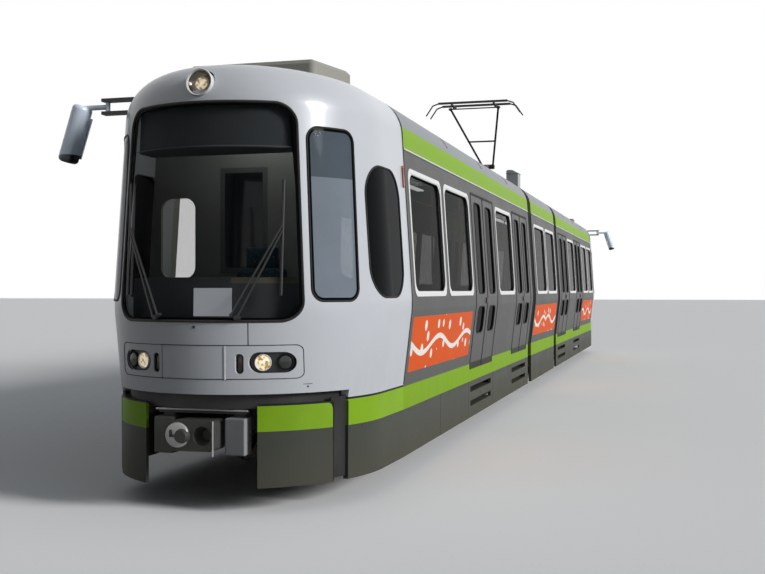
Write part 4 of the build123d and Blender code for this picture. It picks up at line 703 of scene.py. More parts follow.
# Every finish: the name of the real material, its colour or pattern, and how its surface was made
FINISHES = {
    # Silver sprayed in two coats under clear lacquer: an even sheen with a sharp, faint sun streak
    "cab_silver": ("metallic_paint_cab", cab_livery, dict(
        metallic=0.04, roughness=0.35, specular=0.25, coat=0.25, grain=5.0, mottle=0.03, relief=0.05,
        depth=0.1, grime=0.3, clean_above=1.5)),
    # A darker silver than the cab's, without lacquer: a satin face with dust low down
    "side_silver": ("metallic_paint_sides", side_livery, dict(
        metallic=0.03, roughness=0.42, specular=0.05, grain=5.0, mottle=0.05, relief=0.05, depth=0.1,
        grime=0.3, clean_above=1.2)),
    # The same silver on the leaves' pressed skins: a little more shine
    "door": ("metallic_paint_doors", door_livery, dict(
        metallic=0.03, roughness=0.4, specular=0.05, grain=5.0, mottle=0.05, relief=0.05, depth=0.1,
        grime=0.3, clean_above=1.2)),
    # Enamel brushed on and dulled by dust: a cloudy, soft grey
    "roof": ("enamel_roof", roof_livery, dict(
        roughness=0.45, specular=0.1, grain=8.0, mottle=0.1, relief=0.08)),
    # Sprayed satin enamel with road dust: duller towards the ground
    "skirts": ("enamel_skirts", skirt_livery, dict(
        specular=0.15, grain=6.0, mottle=0.12, grime=0.3, clean_above=0.6)),
    # Polished float glass with a printed border: clear in the middle, dead black round it; a painted
    # pale reflection on the corner panes and painted shade on the side panes
    "cab_glass": ("laminated_glass_printed", cab_glazing, dict(
        roughness=0.06, specular=0.015, grain=400.0, mottle=0.1, relief=0.02, depth=1.0)),
    # Grey-tinted toughened glass, polished, under painted shade: nearly black from outside, the saloon
    # just seen in it
    "glass": ("toughened_glass_tinted_with_painted_shade", saloon_glazing, dict(
        roughness=0.05, specular=0.004, grain=400.0, mottle=0.1, relief=0.02, depth=1.0)),
    # Extruded and anodised: even, bright and slightly soft in its gloss
    "aluminium": ("anodised_aluminium_extruded", "#dcddda", dict(
        metallic=0.1, roughness=0.35, specular=0.25, grain=3.0, mottle=0.05, relief=0.05, depth=0.1)),
    # Moulded plastic: the tool's fine grain breaks up its gloss
    "black_plastic": ("abs_moulded_black", "#151617", dict(
        roughness=0.45, grain=2.0, mottle=0.1, relief=0.2)),
    # The same in grey: softer still
    "grey_plastic": ("abs_moulded_grey", "#5d605f", dict(grain=2.0, mottle=0.08, relief=0.2)),
    # Foamed with a grained skin: dull, so that it doesn't mirror in the screen
    "desk": ("foam_skinned_desk", desk_livery, dict(
        roughness=0.7, grain=3.0, mottle=0.1, relief=0.35, depth=0.3)),
    # Extruded rubber: matt with a faint bloom
    "rubber": ("rubber_extruded_black", "#0d0d0d", dict(
        roughness=0.8, grain=3.0, mottle=0.2, relief=0.3, depth=0.4)),
    # Proofed fabric, folded and seamed: dull, with dust towards the bottom
    "bellows": ("proofed_fabric_bellows", "#2a2b2c", dict(
        roughness=0.8, grain=2.0, mottle=0.25, relief=0.5, depth=0.5, grime=0.3, clean_above=2.2)),
    # Welded steel under chassis paint: rough, and brown with brake dust
    "underframe": ("chassis_paint_on_steel", "#2b2a28", dict(
        roughness=0.75, grain=6.0, mottle=0.3, relief=0.4, depth=0.6, grime=0.5, clean_above=1.0)),
    # Rolled vinyl sheet: speckled and worn matt
    "floor": ("vinyl_floor_sheet", floor_livery, dict(roughness=0.6, grain=2.0, mottle=0.1, relief=0.2)),
    # Forged and rolled steel: a brown sheen under dust
    "steel": ("rolled_steel_wheel", "#6b6259", dict(
        metallic=0.7, mottle=0.3, relief=0.3, depth=0.3)),
    # Sand-cast and painted: pitted, worn and dull
    "coupler": ("cast_steel_painted", "#3a3a38", dict(
        metallic=0.2, roughness=0.6, grain=5.0, mottle=0.25, relief=0.4, depth=0.5, grime=0.2)),
    # Machined on the same casting: brighter, with patches of wear; on the thin bar over the coupler the
    # brightness is a painted highlight
    "bright_cast": ("cast_steel_machined_face", "#b9bab6", dict(
        metallic=0.3, roughness=0.4, mottle=0.25, relief=0.3, depth=0.4)),
    # Sprayed enamel on sheet: plain, with a little road dirt
    "case_grey": ("enamel_case_light", "#8f9091", dict(
        roughness=0.45, specular=0.15, mottle=0.15, grime=0.2, clean_above=0.8)),
    # Enamel on drawn tube: dark with soft streaks of light
    "pantograph": ("enamel_on_steel_tube", "#232527", dict(
        metallic=0.1, mottle=0.15, relief=0.2, depth=0.3)),
    # Painted tube on insulators of fired clay: their brown glaze shines
    "pantograph_base": ("enamel_and_glazed_porcelain", two_tone(INSULATOR_Z, "#5b3224", "#232527"), dict(
        roughness=0.3, grain=8.0, mottle=0.1, depth=0.3)),
    # Sprayed enamel, sun-faded: flat and even
    "roof_box": ("enamel_roof_unit", "#96958c", dict(
        specular=0.1, grain=6.0, mottle=0.08, depth=0.3)),
    # Moulded resin: smooth and pale
    "drive": ("moulded_resin_drive_cover", "#9fa3a4", dict(roughness=0.45, mottle=0.08)),
    # Woven wool pile: no gloss, flecks in the weave
    "moquette": ("woven_wool_moquette", seat_weave, dict(
        roughness=0.9, grain=2.0, mottle=0.1, relief=0.6, depth=0.6)),
    # Gel coat from a polished mould: smooth with a light gloss
    "seat_shell": ("gel_coated_seat_shell", "#8d918f", dict(roughness=0.35, grain=3.0, depth=0.1)),
    # Pressed laminate: flat and even
    "panel": ("laminate_wall_panel", "#858784", dict(grain=3.0, mottle=0.05, depth=0.1)),
    # Powder coat baked on tube: a slight orange peel
    "rail": ("powder_coated_rail_yellow", "#d7a01c", dict(
        roughness=0.4, grain=3.0, relief=0.15, depth=0.1)),
    # Moulded and lacquered housing: a clear gloss over bluish silver
    "mirror_housing": ("moulded_mirror_housing", two_tone(MIRROR_FOOT_Z, "#141516", "#d3deec"), dict(
        metallic=0.1, roughness=0.35, coat=0.3, grain=3.0, mottle=0.05, depth=0.1)),
    # Silvered behind polished glass: a plain mirror
    "mirror_glass": ("silvered_glass", "#c9cfd4", dict(
        metallic=1.0, roughness=0.04, grain=300.0, mottle=0.02, relief=0.01)),
    # Pressed flutes over a lit bulb: warm, broken light
    "lit_lamp": ("fluted_glass_lens_lit", lens_pattern, dict(
        roughness=0.12, glow=0.55, grain=9.0, mottle=0.12, relief=0.5, depth=1.2)),
    # The same flutes over an unlit bulb: dark with a broken glint
    "dark_lamp": ("fluted_glass_lens_unlit", "#3b3f3c", dict(
        metallic=0.3, roughness=0.12, grain=9.0, mottle=0.2, relief=0.5, depth=1.2)),
    # Spun bowl, metallised in vacuum: bright rings
    "reflector": ("vacuum_metallised_bowl", "#6b6862", dict(
        metallic=1.0, roughness=0.22, grain=20.0, mottle=0.05, relief=0.05, depth=0.3)),
    # Moulded amber acrylic: deep colour under a smooth face
    "marker": ("moulded_acrylic_amber", "#94411c", dict(
        roughness=0.15, grain=5.0, mottle=0.1, relief=0.3, depth=0.5)),
    # Polished toughened glass painted black, painted shade of the dark space behind it: smooth
    "painted_shade_pane": ("toughened_glass_painted_shade", "#14191b", dict(
        roughness=0.08, grain=300.0, mottle=0.1, relief=0.02, depth=0.5)),
    # Moulded red acrylic, unlit: nearly brown, with a smooth shine
    "tail_lens": ("moulded_acrylic_dark_red", "#3d1f1b", dict(
        roughness=0.15, grain=5.0, mottle=0.1, relief=0.3, depth=0.5)),
    # Printed card behind glass: flat white, with a painted glow
    "white_sign_painted_glow": ("printed_card_white_painted_glow", "#dfe3ea", dict(
        roughness=0.6, glow=0.3, mottle=0.03, relief=0.05, depth=0.1)),
    # Opal acrylic extruded over tubes: even light without a hot spot
    "light_strip": ("opal_acrylic_diffuser", "#e9ebe6", dict(
        roughness=0.4, glow=6.0, grain=9.0, mottle=0.02, relief=0.05)),
}

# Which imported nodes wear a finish, each with its front and rear twins
DRESSED = {
    "cab_silver": ("cab_shell", "lamps"),
    "side_silver": ("sides", "middle_sides"),
    "roof": ("roof", "middle_roof"),
    "skirts": ("skirts", "middle_skirts"),
    "cab_glass": ("cab_glass",),
    "glass": ("windows", "middle_windows"),
    "door": ("doors",),
    "aluminium": ("window_frames", "middle_window_frames"),
    "black_plastic": ("cab_fittings",),
    "desk": ("cab_furniture",),
    "bellows": ("bellows",),
    "floor": ("floor", "middle_floor"),
    "underframe": ("underframe", "bogie", "middle_bogie"),
    "steel": ("wheelset_outer", "wheelset_inner", "middle_wheelset_front", "middle_wheelset_rear"),
    "coupler": ("coupler",),
    "pantograph_base": ("pantograph_base",),
    "pantograph": ("pantograph_lower_arm", "pantograph_upper_arm", "pantograph_head"),
    "drive": ("pantograph_drive",),
    "roof_box": ("roof_box",),
    "seat_shell": ("seats", "middle_seats"),
    "panel": ("partition",),
    "mirror_housing": ("mirror",),
}
MATERIALS = {}


def dress(name, *nodes):
    """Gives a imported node, or its front and rear twins, a material."""
    for target in nodes:
        for full in (target, "front_" + target, "rear_" + target):
            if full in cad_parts:
                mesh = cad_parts[full].data
                mesh.materials.clear()
                mesh.materials.append(MATERIALS[name])


def paint_property(name, description, code):
    return bpy.props.FloatVectorProperty(
        name=name, description=description, subtype="COLOR", default=linear(code)[:3], min=0, max=1
    )


class TramPaint(bpy.types.PropertyGroup):
    cab: paint_property("Cab silver", "Metallic paint of the cab", "#c0c3c8")
    side: paint_property("Side silver", "Metallic paint of the sides", "#5b5c5a")
    roof: paint_property("Roof grey", "Paint of the roof", "#8b8e92")
    green: paint_property("Band green", "Film of the two green bands", "#7ca419")
    orange: paint_property("Panel orange", "Film of the panels under the windows", "#d85410")
    skirt: paint_property("Skirt grey", "Paint of the skirts", "#40423b")


class TramTrim(bpy.types.PropertyGroup):
    gasket: bpy.props.FloatProperty(
        name="Gasket", description="Radius of the rubber round the panes", default=0.009,
        min=0.004, max=0.03, subtype="DISTANCE", unit="LENGTH",
    )
    pleats: bpy.props.IntProperty(
        name="Pleats", description="Folds of a bellows", default=8, min=3, max=20
    )
    lamp_radius: bpy.props.FloatProperty(
        name="Headlamp", description="Radius of a headlamp's lens", default=0.066,
        min=0.03, max=0.09, subtype="DISTANCE", unit="LENGTH",
    )


def light_property(name, description, default):
    return bpy.props.FloatProperty(name=name, description=description, default=default, min=0, max=2)


class TramStudio(bpy.types.PropertyGroup):
    lens: bpy.props.FloatProperty(
        name="Lens", description="Focal length of the camera in millimetres", default=50.35,
        min=10, max=200,
    )
    eye: bpy.props.FloatVectorProperty(
        name="Eye", description="Place of the camera", subtype="TRANSLATION", unit="LENGTH",
        default=(20.71, 3.835, 1.83),
    )
    low: light_property("Dome foot", "Light of the dome away from the lamps", 0.02)
    side: light_property("Dome side", "Light of the dome beside the left side", 0.55)
    high: light_property("Dome top", "Light the dome gains overhead", 0.2)


class TRAM_OT_materials(bpy.types.Operator):
    """Mix every finish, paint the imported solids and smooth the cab"""

    bl_idname = "tram.materials"
    bl_label = "Paint the solids"

    def execute(self, context):
        for key, (name, colour, settings) in FINISHES.items():
            MATERIALS[key] = finish(name, colour, **settings)
        for key, nodes in DRESSED.items():
            dress(key, *nodes)
        shell = smooth(node_copy("front_cab_shell", lambda p: True), 22)
        shaped(shell, "WEIGHTED_NORMAL", keep_sharp=True)
        skinned(shell)
        pair = at_both_ends(shell, "smooth_cab_shell", "cab_silver")
        for piece, name in zip(pair, ENDS):
            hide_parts(name + "_cab_shell")
        return {"FINISHED"}


class TRAM_OT_gaskets(bpy.types.Operator):
    """Lay the gaskets and bezels round every pane"""

    bl_idname = "tram.gaskets"
    bl_label = "Pane gaskets"

    def placed(self, piece, name, material, slot):
        """Copies a piece made for one window to every window."""
        end = both_sides(joined([twin(piece, at(x, 0, 0)) for x in WINDOWS_END]))
        at_both_ends(end, name, material)
        middle = both_sides(joined([twin(piece, at(x, 0, 0)) for x in WINDOWS_MIDDLE]))
        fitted(middle, "middle_" + name, material, "middle")
        bpy.data.objects.remove(piece)

    def execute(self, context):
        radius = context.scene.tram_trim.gasket
        foot = SCREEN[0][1] - SCREEN[1][1]
        screen = []
        for u, z in rim(SCREEN, 12):
            y = u * (1 - SCREEN_LEAN * (z - foot) / SCREEN[1][0])
            screen.append((nose_x(y, z) + 0.002, y, z))
        corner = [corner_point(s, z) for s, z in rim(CORNER_PANE)]
        side = [(x, flank_y(x, z) + 0.001, z) for x, z in rim(SIDE_PANE, 12)]
        loops = [tube(screen, radius * 1.3, closed=True)]
        loops += [both_sides(tube(points, radius, closed=True)) for points in (corner, side)]
        at_both_ends(joined(loops), "cab_gaskets", "rubber")
        # The bezel runs from the frame's tight corners to the pane's round ones
        (cu, cv), (hu, hv), tight = WINDOW
        loops = [
            corners(((cu, cv), (hu - inset, hv - inset), bend))
            for inset, bend in ((-0.004, tight), (0.008, 0.135))
        ]
        count = len(loops[0])
        quads = [(k, (k + 1) % count, (k + 1) % count + count, k + count) for k in range(count)]
        bezel = meshed([(x, side_y(z) + 0.001, z) for loop in loops for x, z in loop], quads)
        shaped(outward(bezel), "SOLIDIFY", thickness=0.006, offset=-1)
        line = rim(((cu, cv), (hu - 0.012, hv - 0.012), 0.13))
        window = tube([(x, side_y(z) - 0.002, z) for x, z in line], radius * 0.6, closed=True)
        self.placed(bezel, "window_bezels", "aluminium", "bright_aluminium")
        self.placed(window, "window_gaskets", "rubber", "black_plastic")
        panes = []
        for pane in DOOR_PANES:
            line = [(x, side_y(z) + 0.001, z) for x, z in rim(pane)]
            first = tube(line, radius * 0.8, closed=True)
            panes += [twin(first, at(door + half, 0, 0)) for door in DOORS for half in (-0.4, 0.4)]
            bpy.data.objects.remove(first)
        at_both_ends(both_sides(joined(panes)), "door_gaskets", "rubber")
        return {"FINISHED"}


class TRAM_OT_doors(bpy.types.Operator):
    """Fit the finger rubbers, edge seals and buttons of the doors"""

    bl_idname = "tram.doors"
    bl_label = "Door trim"

    def execute(self, context):
        low, high = DOOR_Z[0] + 0.004, DOOR_Z[1] - 0.004
        seals, buttons, heads = [], [], []
        for door in DOORS:
            left, right = door - DOOR_HALF, door + DOOR_HALF
            for middle, half in ((door, 0.014), (left, 0.010), (right, 0.010)):
                strip = slab((middle - half, -0.004, low), (middle + half, 0.006, high), 0.003)
                seals.append(leaned(strip))
            seals.append(leaned(slab((left, -0.004, high), (right, 0.007, high + 0.03), 0.003)))
            buttons.append(slab((door + 0.075, 1.315, 1.66), (door + 0.135, 1.335, 1.74), 0.008, 3))
            heads.append(slab((door + 0.09, 1.333, 1.68), (door + 0.12, 1.341, 1.72), 0.006, 3))
        at_both_ends(both_sides(joined(seals)), "door_seals", "rubber")
        at_both_ends(both_sides(joined(buttons)), "door_buttons", "black_plastic")
        at_both_ends(both_sides(joined(heads)), "door_button_heads", "marker")
        return {"FINISHED"}


class TRAM_OT_lamps(bpy.types.Operator):
    """Open the lamp strip and fit the head, tail, top and side lamps"""

    bl_idname = "tram.lamps"
    bl_label = "Lamps"

    def stadium(self, y, z):
        """A prism along X in a slot's outline, long enough to pass through the strip."""
        (y0, y1), (z0, z1) = y, z
        corner = min(y1 - y0, z1 - z0) / 2 - 0.001
        outline = rim((((y0 + y1) / 2, (z0 + z1) / 2), ((y1 - y0) / 2, (z1 - z0) / 2), corner))
        prism = meshed([(12.2, u, v) for u, v in outline], [list(range(len(outline)))])
        through = {"TRANSFORM_OT_translate": {"value": (0.7, 0, 0)}}
        return outward(in_edit(prism, (bpy.ops.mesh.extrude_region_move, through)))

    def lamp(self, radius):
        """Lens and bezel of a lamp that faces along +Z, its rim at z = 0."""
        r, s, t = radius * 0.93, radius * 0.99, radius * 1.06
        crown = [(0, 0.012), (radius * 0.5, 0.009), (radius * 0.85, 0.002)]
        lens = lathe(crown + [(r, -0.008), (0, -0.008)])
        bezel = lathe([(r, -0.03), (r, 0.004), (s, 0.010), (t, 0.004), (t, -0.03), (r, -0.03)])
        return lens, bezel

    def execute(self, context):
        radius = context.scene.tram_trim.lamp_radius
        slots = [(y if side > 0 else (-y[1], -y[0]), z) for y, z in LAMP_SLOTS for side in (1, -1)]
        strip = node_copy("front_lamps", lambda p: p.z < 2 and p.x > 11)
        markers = node_copy("front_lamps", lambda p: p.x < 11)
        wells = []
        for slot in slots:
            well = cut(twin(strip, Matrix.Identity(4)), self.stadium(*slot), "INTERSECT")
            wells.append(moved(well, at(-0.05, 0, 0)))
        for slot in slots:
            cut(strip, self.stadium(*slot))
        for groove in (0.264, -0.308):
            cut(strip, slab((12.2, groove - 0.004, 1.09), (12.9, groove + 0.004, 1.40), 0))
        skinned(smooth(strip, 30))
        at_both_ends(joined(wells), "lamp_wells", "black_plastic")
        near, far = [
            at(nose_x(y, LAMP_Z) - 0.024, y, LAMP_Z) @ spun(yaw, "Z") @ spun(90, "Y")
            for y, yaw in ((0.537, 22), (0.694, 30))
        ]
        lens, bezel = [moved(part, near) for part in self.lamp(radius)]
        dark, edge = [moved(part, far) for part in self.lamp(radius * 0.95)]
        red = lathe([(0, 0.008), (0.018, 0.006), (0.028, -0.002), (0.028, -0.01), (0, -0.01)])
        moved(red, Matrix.Scale(2.4, 4, (0, 1, 0)))
        place = at(nose_x(0.37, 1.235) - 0.03, 0.37, 1.235) @ spun(15, "Z")
        moved(red, place @ spun(90, "Y") @ spun(90, "Z"))
        # Ring, bowl, lens and barrel of the lamp over the windscreen
        ring, bowl, top_lens, barrel = [
            moved(lathe(profile, 48), at(12.648, 0, 3.545) @ spun(82, "Y"))
            for profile in (
                [(0.112, -0.05), (0.117, 0.0), (0.112, 0.012), (0.104, 0.008), (0.098, -0.012),
                 (0.098, -0.05), (0.112, -0.05)],
                [(0.099, -0.004), (0.085, -0.03), (0.066, -0.045), (0.062, -0.045), (0.0, -0.06)],
                [(0, -0.010), (0.030, -0.014), (0.046, -0.026), (0.052, -0.045), (0, -0.045)],
                [(0.0, -0.2), (0.113, -0.2), (0.113, -0.052), (0.10, -0.05), (0.09, -0.062),
                 (0.0, -0.062)],
            )
        ]
        at_both_ends(joined([both_sides(bezel), ring]), "lamp_bezels", "aluminium")
        at_both_ends(both_sides(edge), "lamp_rims", "black_plastic")
        at_both_ends(bowl, "top_lamp_bowl", "reflector")
        lit = joined([both_sides(lens), top_lens])
        at_both_ends(lit, "lamp_lenses_lit", "lit_lamp")
        at_both_ends(both_sides(dark), "lamp_lenses_dark", "dark_lamp")
        at_both_ends(both_sides(red), "tail_lenses", "tail_lens")
        line = [(nose_x(y, z) + 0.0008, y, z) for y, z in rim(LAMP_STRIP, 8)]
        joint = tube(line, 0.0035, closed=True)
        at_both_ends(joint, "lamp_strip_joint", "rubber")
        at_both_ends(barrel, "top_lamp_barrel", "cab_silver")
        pair = at_both_ends(strip, "lamp_strip", "cab_silver")
        for piece, name in zip(pair, ENDS):
            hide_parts(name + "_lamps")
        at_both_ends(smooth(markers, 30), "side_markers", "marker")
        bright = leaned_nose(slab((0, 0.252, 1.105), (0.006, 0.266, 1.380), 0.002))
        at_both_ends(bright, "lamp_strip_edge", "aluminium")
        return {"FINISHED"}


def leaned_nose(piece):
    """Lays an upright piece, modelled against x = 0, onto the nose's outer face."""
    for vertex in piece.data.vertices:
        vertex.co.x += nose_x(vertex.co.y, vertex.co.z)
    piece.data.update()
    return piece


class TRAM_OT_cab(bpy.types.Operator):
    """Add the nose's seams and marks, the sign board, wiper caps and cab trim"""

    bl_idname = "tram.cab"
    bl_label = "Cab details"

    def execute(self, context):
        seams = [
            tube([(nose_x(0.44, z) + 0.0005, 0.44, z) for z in (1.39, 1.45, 1.51, 1.575)], 0.003),
            tube([(SEAM_X, y, z) for y, z in section_outline(0.0, 0.93)], 0.007),
        ]
        for x in (11.98, CORNER_SKIRT_X):
            edge = [(x, flank_y(x, z) + 0.001, z) for z in (0.24, 0.5, 0.7, 0.89)]
            seams.append(both_sides(tube(edge, 0.005)))
        at_both_ends(joined(seams), "cab_seams", "rubber")
        fill = slab((11.975, -0.012, 0.25), (12.135, 0.0, 0.93), 0)
        in_edit(fill, (bpy.ops.mesh.subdivide, {"number_cuts": 6}))
        for vertex in fill.data.vertices:
            vertex.co.y += flank_y(vertex.co.x, vertex.co.z) - 0.022
        at_both_ends(both_sides(fill), "skirt_gap_rubber", "rubber")
        marks = [
            leaned_nose(slab((-0.004, -0.012, 1.521), (0.004, 0.012, 1.545), 0.004, 3)),
            leaned_nose(slab((-0.001, 0.815, 1.056), (0.003, 0.872, 1.061), 0.0008)),
            leaned_nose(slab((-0.001, 0.839, 1.030), (0.003, 0.849, 1.045), 0.0008)),
        ]
        for x in SCREWS_X:
            screw = lathe([(0, 0.004), (0.008, 0.003), (0.011, -0.002), (0, -0.002)], 8)
            y = flank_y(x, 0.66) if x > SEAM_X else side_y(0.66)
            marks.append(moved(screw, at(x, y, 0.655) @ spun(-90, "X")))
        at_both_ends(joined(marks), "nose_marks", "black_plastic")
        # The sign board is a printed card given a painted glow
        board = leaned_nose(slab((-0.040, -0.02, 1.62), (-0.034, 0.30, 1.85), 0.002))
        at_both_ends(board, "sign_board", "white_sign_painted_glow")
        line = slab((-0.042, -0.70, 3.016), (-0.036, 0.70, 3.024), 0)
        in_edit(line, (bpy.ops.mesh.subdivide, {"number_cuts": 12}))
        at_both_ends(leaned_nose(line), "display_edge", "case_grey")
        # The partition pane is opaque black: painted shade of the space behind it
        pane = slab((11.189, -0.42, 2.05), (11.197, -0.03, 2.96), 0.003)
        frame_bar = slab((11.188, -0.47, 2.00), (11.194, 0.02, 3.01), 0.003)
        at_both_ends(pane, "partition_pane", "painted_shade_pane")
        at_both_ends(frame_bar, "partition_pane_frame", "grey_plastic")
        profile = [
            (0, 0.05), (0.016, 0.048), (0.02, 0.04), (0.02, 0), (0.028, -0.004), (0.028, -0.02),
            (0, -0.02),
        ]
        caps = [
            moved(lathe(profile, 24), at(nose_x(y, 1.61), y, 1.61) @ spun(90, "Y"))
            for y in (0.36, -0.36)
        ]
        at_both_ends(joined(caps), "wiper_caps", "black_plastic")
        return {"FINISHED"}


def section_outline(inset, foot):
    """Outline of the saloon's cross-section, from the left sill over the roof to the right."""
    rows = [foot] + [z for z, w in SIDE_PROFILE if foot < z < EAVE_Z] + [EAVE_Z]
    side = [(side_y(z) - inset, z) for z in rows]
    corner = 0.40 - inset
    centre_y, centre_z = side_y(3.36) - inset - corner, 3.33
    rise = ROOF_Z - 0.05 - inset - centre_z
    curve = []
    for step in range(9):
        angle = radians(4 + 82 * step / 8)
        curve.append((centre_y + corner * cos(angle) + 0.004, centre_z + rise * sin(angle)))
    crown = []
    edge, edge_z = curve[-1]
    for step in range(1, 5):
        y = edge * (1 - step / 4)
        crown.append((y, ROOF_Z - inset - (ROOF_Z - inset - edge_z) * (y / edge) ** 2))
    half = side + curve + crown
    return half + [(-y, z) for y, z in reversed(half[:-1])]


class TRAM_OT_bellows(bpy.types.Operator):
    """Pleat the two bellows between the sections"""

    bl_idname = "tram.bellows"
    bl_label = "Bellows"

    def execute(self, context):
        folds = context.scene.tram_trim.pleats
        near, far = PIVOT_X - PORTAL_GAP, PIVOT_X + PORTAL_GAP
        start, length = near + 0.002, 2 * PORTAL_GAP - 0.004
        steps = 4 * folds
        outer, inner = section_outline(0.02, 0.72), section_outline(0.065, 0.765)
        count = len(outer)
        verts, faces = [], []
        for ring in range(steps + 1):
            valley = 1 - (1 - cos(tau * ring * folds / steps)) / 2
            x = start + length * ring / steps
            for (y0, z0), (y1, z1) in zip(outer, inner):
                verts.append((x, y0 + (y1 - y0) * valley, z0 + (z1 - z0) * valley))
        for ring in range(steps):
            for k in range(count):
                a, b = ring * count + k, ring * count + (k + 1) % count
                faces.append((a, b, b + count, a + count))
        tunnel = outward(meshed(verts, faces))
        smooth(shaped(tunnel, "SOLIDIFY", thickness=0.006, offset=-1), 50)
        for end, side, piece in (("front", 1, tunnel), ("rear", -1, twin(tunnel, HALF_TURN))):
            piece.name = piece.data.name = end + "_pleated_bellows"
            piece.data.materials.clear()
            piece.data.materials.append(MATERIALS["bellows"])
            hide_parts(end + "_bellows")
            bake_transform(piece)
        return {"FINISHED"}


class TRAM_OT_seating(bpy.types.Operator):
    """Upholster the benches and the driver's seat, and fit grab rails and lights"""

    bl_idname = "tram.seating"
    bl_label = "Seats and rails"

    def pad(self, low, high, crown):
        """A crowned cushion whose sides pull in between its corners."""
        piece = slab(low, high, 0)
        in_edit(piece, (bpy.ops.mesh.subdivide, {"number_cuts": 5}))
        middle = [(a + b) / 2 for a, b in zip(low, high)]
        half = [(b - a) / 2 for a, b in zip(low, high)]
        thin = half.index(min(half))
        u, v = [i for i in range(3) if i != thin]
        for vertex in piece.data.vertices:
            share = [(vertex.co[i] - middle[i]) / half[i] for i in range(3)]
            vertex.co[thin] += crown * (1 - share[u] ** 2) * (1 - share[v] ** 2) * share[thin]
            vertex.co[u] -= share[u] * (1 - share[v] ** 2) * PAD_WAIST
            vertex.co[v] -= share[v] * (1 - share[u] ** 2) * PAD_WAIST
        shaped(piece, "SUBSURF", levels=1, render_levels=1)
        bpy.ops.object.shade_smooth()
        return piece

    def execute(self, context):
        cushion = self.pad((0.0, 0.45, 1.286), (0.41, 1.11, 1.330), 0.012)
        back = self.pad((-0.045, 0.45, 1.36), (-0.005, 1.11, 1.86), 0.010)
        moved(back, at(0, 0, 1.36) @ spun(-4, "Y") @ at(0, 0, -1.36))

        def rows(places):
            """A cushion and a back at every place, facing along or against X, on both sides."""
            pads = []
            for x, facing in places:
                place = at(x, 0, 0) @ Matrix.Scale(facing, 4, (1, 0, 0))
                pads += [twin(piece, place) for piece in (cushion, back)]
            return both_sides(joined(pads))

        soft = at_both_ends(rows(SEATS_END), "seat_pads", "moquette")
        benches = rows(SEATS_MIDDLE)
        soft.append(fitted(benches, "middle_seat_pads", "moquette", "middle"))
        bpy.data.objects.remove(cushion)
        bpy.data.objects.remove(back)
        driver = joined([
            self.pad((11.31, -0.25, 1.322), (11.81, 0.25, 1.445), 0.02),
            self.pad((11.225, -0.24, 1.40), (11.335, 0.24, 2.045), 0.015),
            self.pad((11.23, -0.15, 2.035), (11.32, 0.15, 2.245), 0.012),
        ])
        soft += at_both_ends(driver, "driver_seat_pads", "moquette")
        poles = []
        for x in (door + reach for door in DOORS for reach in (0.95, -0.95)):
            pole = [(x, 0.40, 0.86), (x, 0.40, 1.5), (x, 0.44, 2.2), (x, 0.44, 3.56)]
            poles.append(tube(pole, 0.017, sides=4))
        poles.append(tube([(x, 0.44, 3.0) for x in (2.5, 5.5, 8.0, 10.5)], 0.015, sides=4))
        at_both_ends(both_sides(joined(poles)), "grab_rails", "rail")
        strips = slab((2.4, 0.56, 3.575), (10.6, 0.68, 3.60), 0.008)
        cab_light = slab((11.35, -0.30, 3.50), (11.75, 0.30, 3.53), 0.008)
        lights = joined([both_sides(strips), cab_light])
        at_both_ends(lights, "ceiling_lights", "light_strip")
        return {"FINISHED"}


class TRAM_OT_coupler(bpy.types.Operator):
    """Cover the coupler's boxes, one painted lit and one painted in shade, and fit its bright face, a
    bar that is a painted highlight, its hook and bolts
    """

    bl_idname = "tram.coupler"
    bl_label = "Coupler details"

    def execute(self, context):
        # Painted light and shade: the two matching cases are painted apart, the left one light grey on
        # the sun's side, the right one dark for the shade on that side
        left = slab((12.505, 0.228, 0.483), (12.652, 0.407, 0.787), 0.012, 3)
        right = slab((12.505, -0.407, 0.483), (12.652, -0.228, 0.787), 0.012, 3)
        dish = [(0.102, -0.02), (0.104, 0.008), (0.098, 0.018), (0.070, 0.022), (0.0, 0.024)]
        dish = lathe(dish, 40)
        moved(dish, at(12.778, -0.130, 0.655) @ spun(90, "Y"))
        plate = slab((12.772, 0.180, 0.49), (12.790, 0.187, 0.775), 0.002)
        # Painted highlight: this thin bright bar stands for the sunlit top edge of the coupler's hood
        bar = slab((12.592, -0.415, 0.838), (12.606, 0.415, 0.853), 0.003)
        hook = joined([
            slab((12.800, -0.190, 0.640), (12.812, -0.105, 0.662), 0.004),
            slab((12.800, -0.190, 0.640), (12.812, -0.168, 0.700), 0.004),
        ])
        profile = [(0, 0.014), (0.012, 0.014), (0.015, 0.010), (0.015, -0.002), (0, -0.002)]
        bolts = [
            moved(lathe(profile, 6), at(12.775, y, z) @ spun(90, "Y"))
            for y in (-0.16, 0.16) for z in (0.56, 0.74)
        ]
        for piece, name, material in (
            (left, "case_left_painted_sunlit", "case_grey"),
            (right, "case_right_painted_shade", "coupler"),
            (hook, "hook", "black_plastic"),
            (joined([dish, plate, bar]), "bright_face_and_painted_highlight", "bright_cast"),
            (joined(bolts), "bolts", "coupler"),
        ):
            at_both_ends(piece, "coupler_" + name, material, "coupler_body")
        return {"FINISHED"}


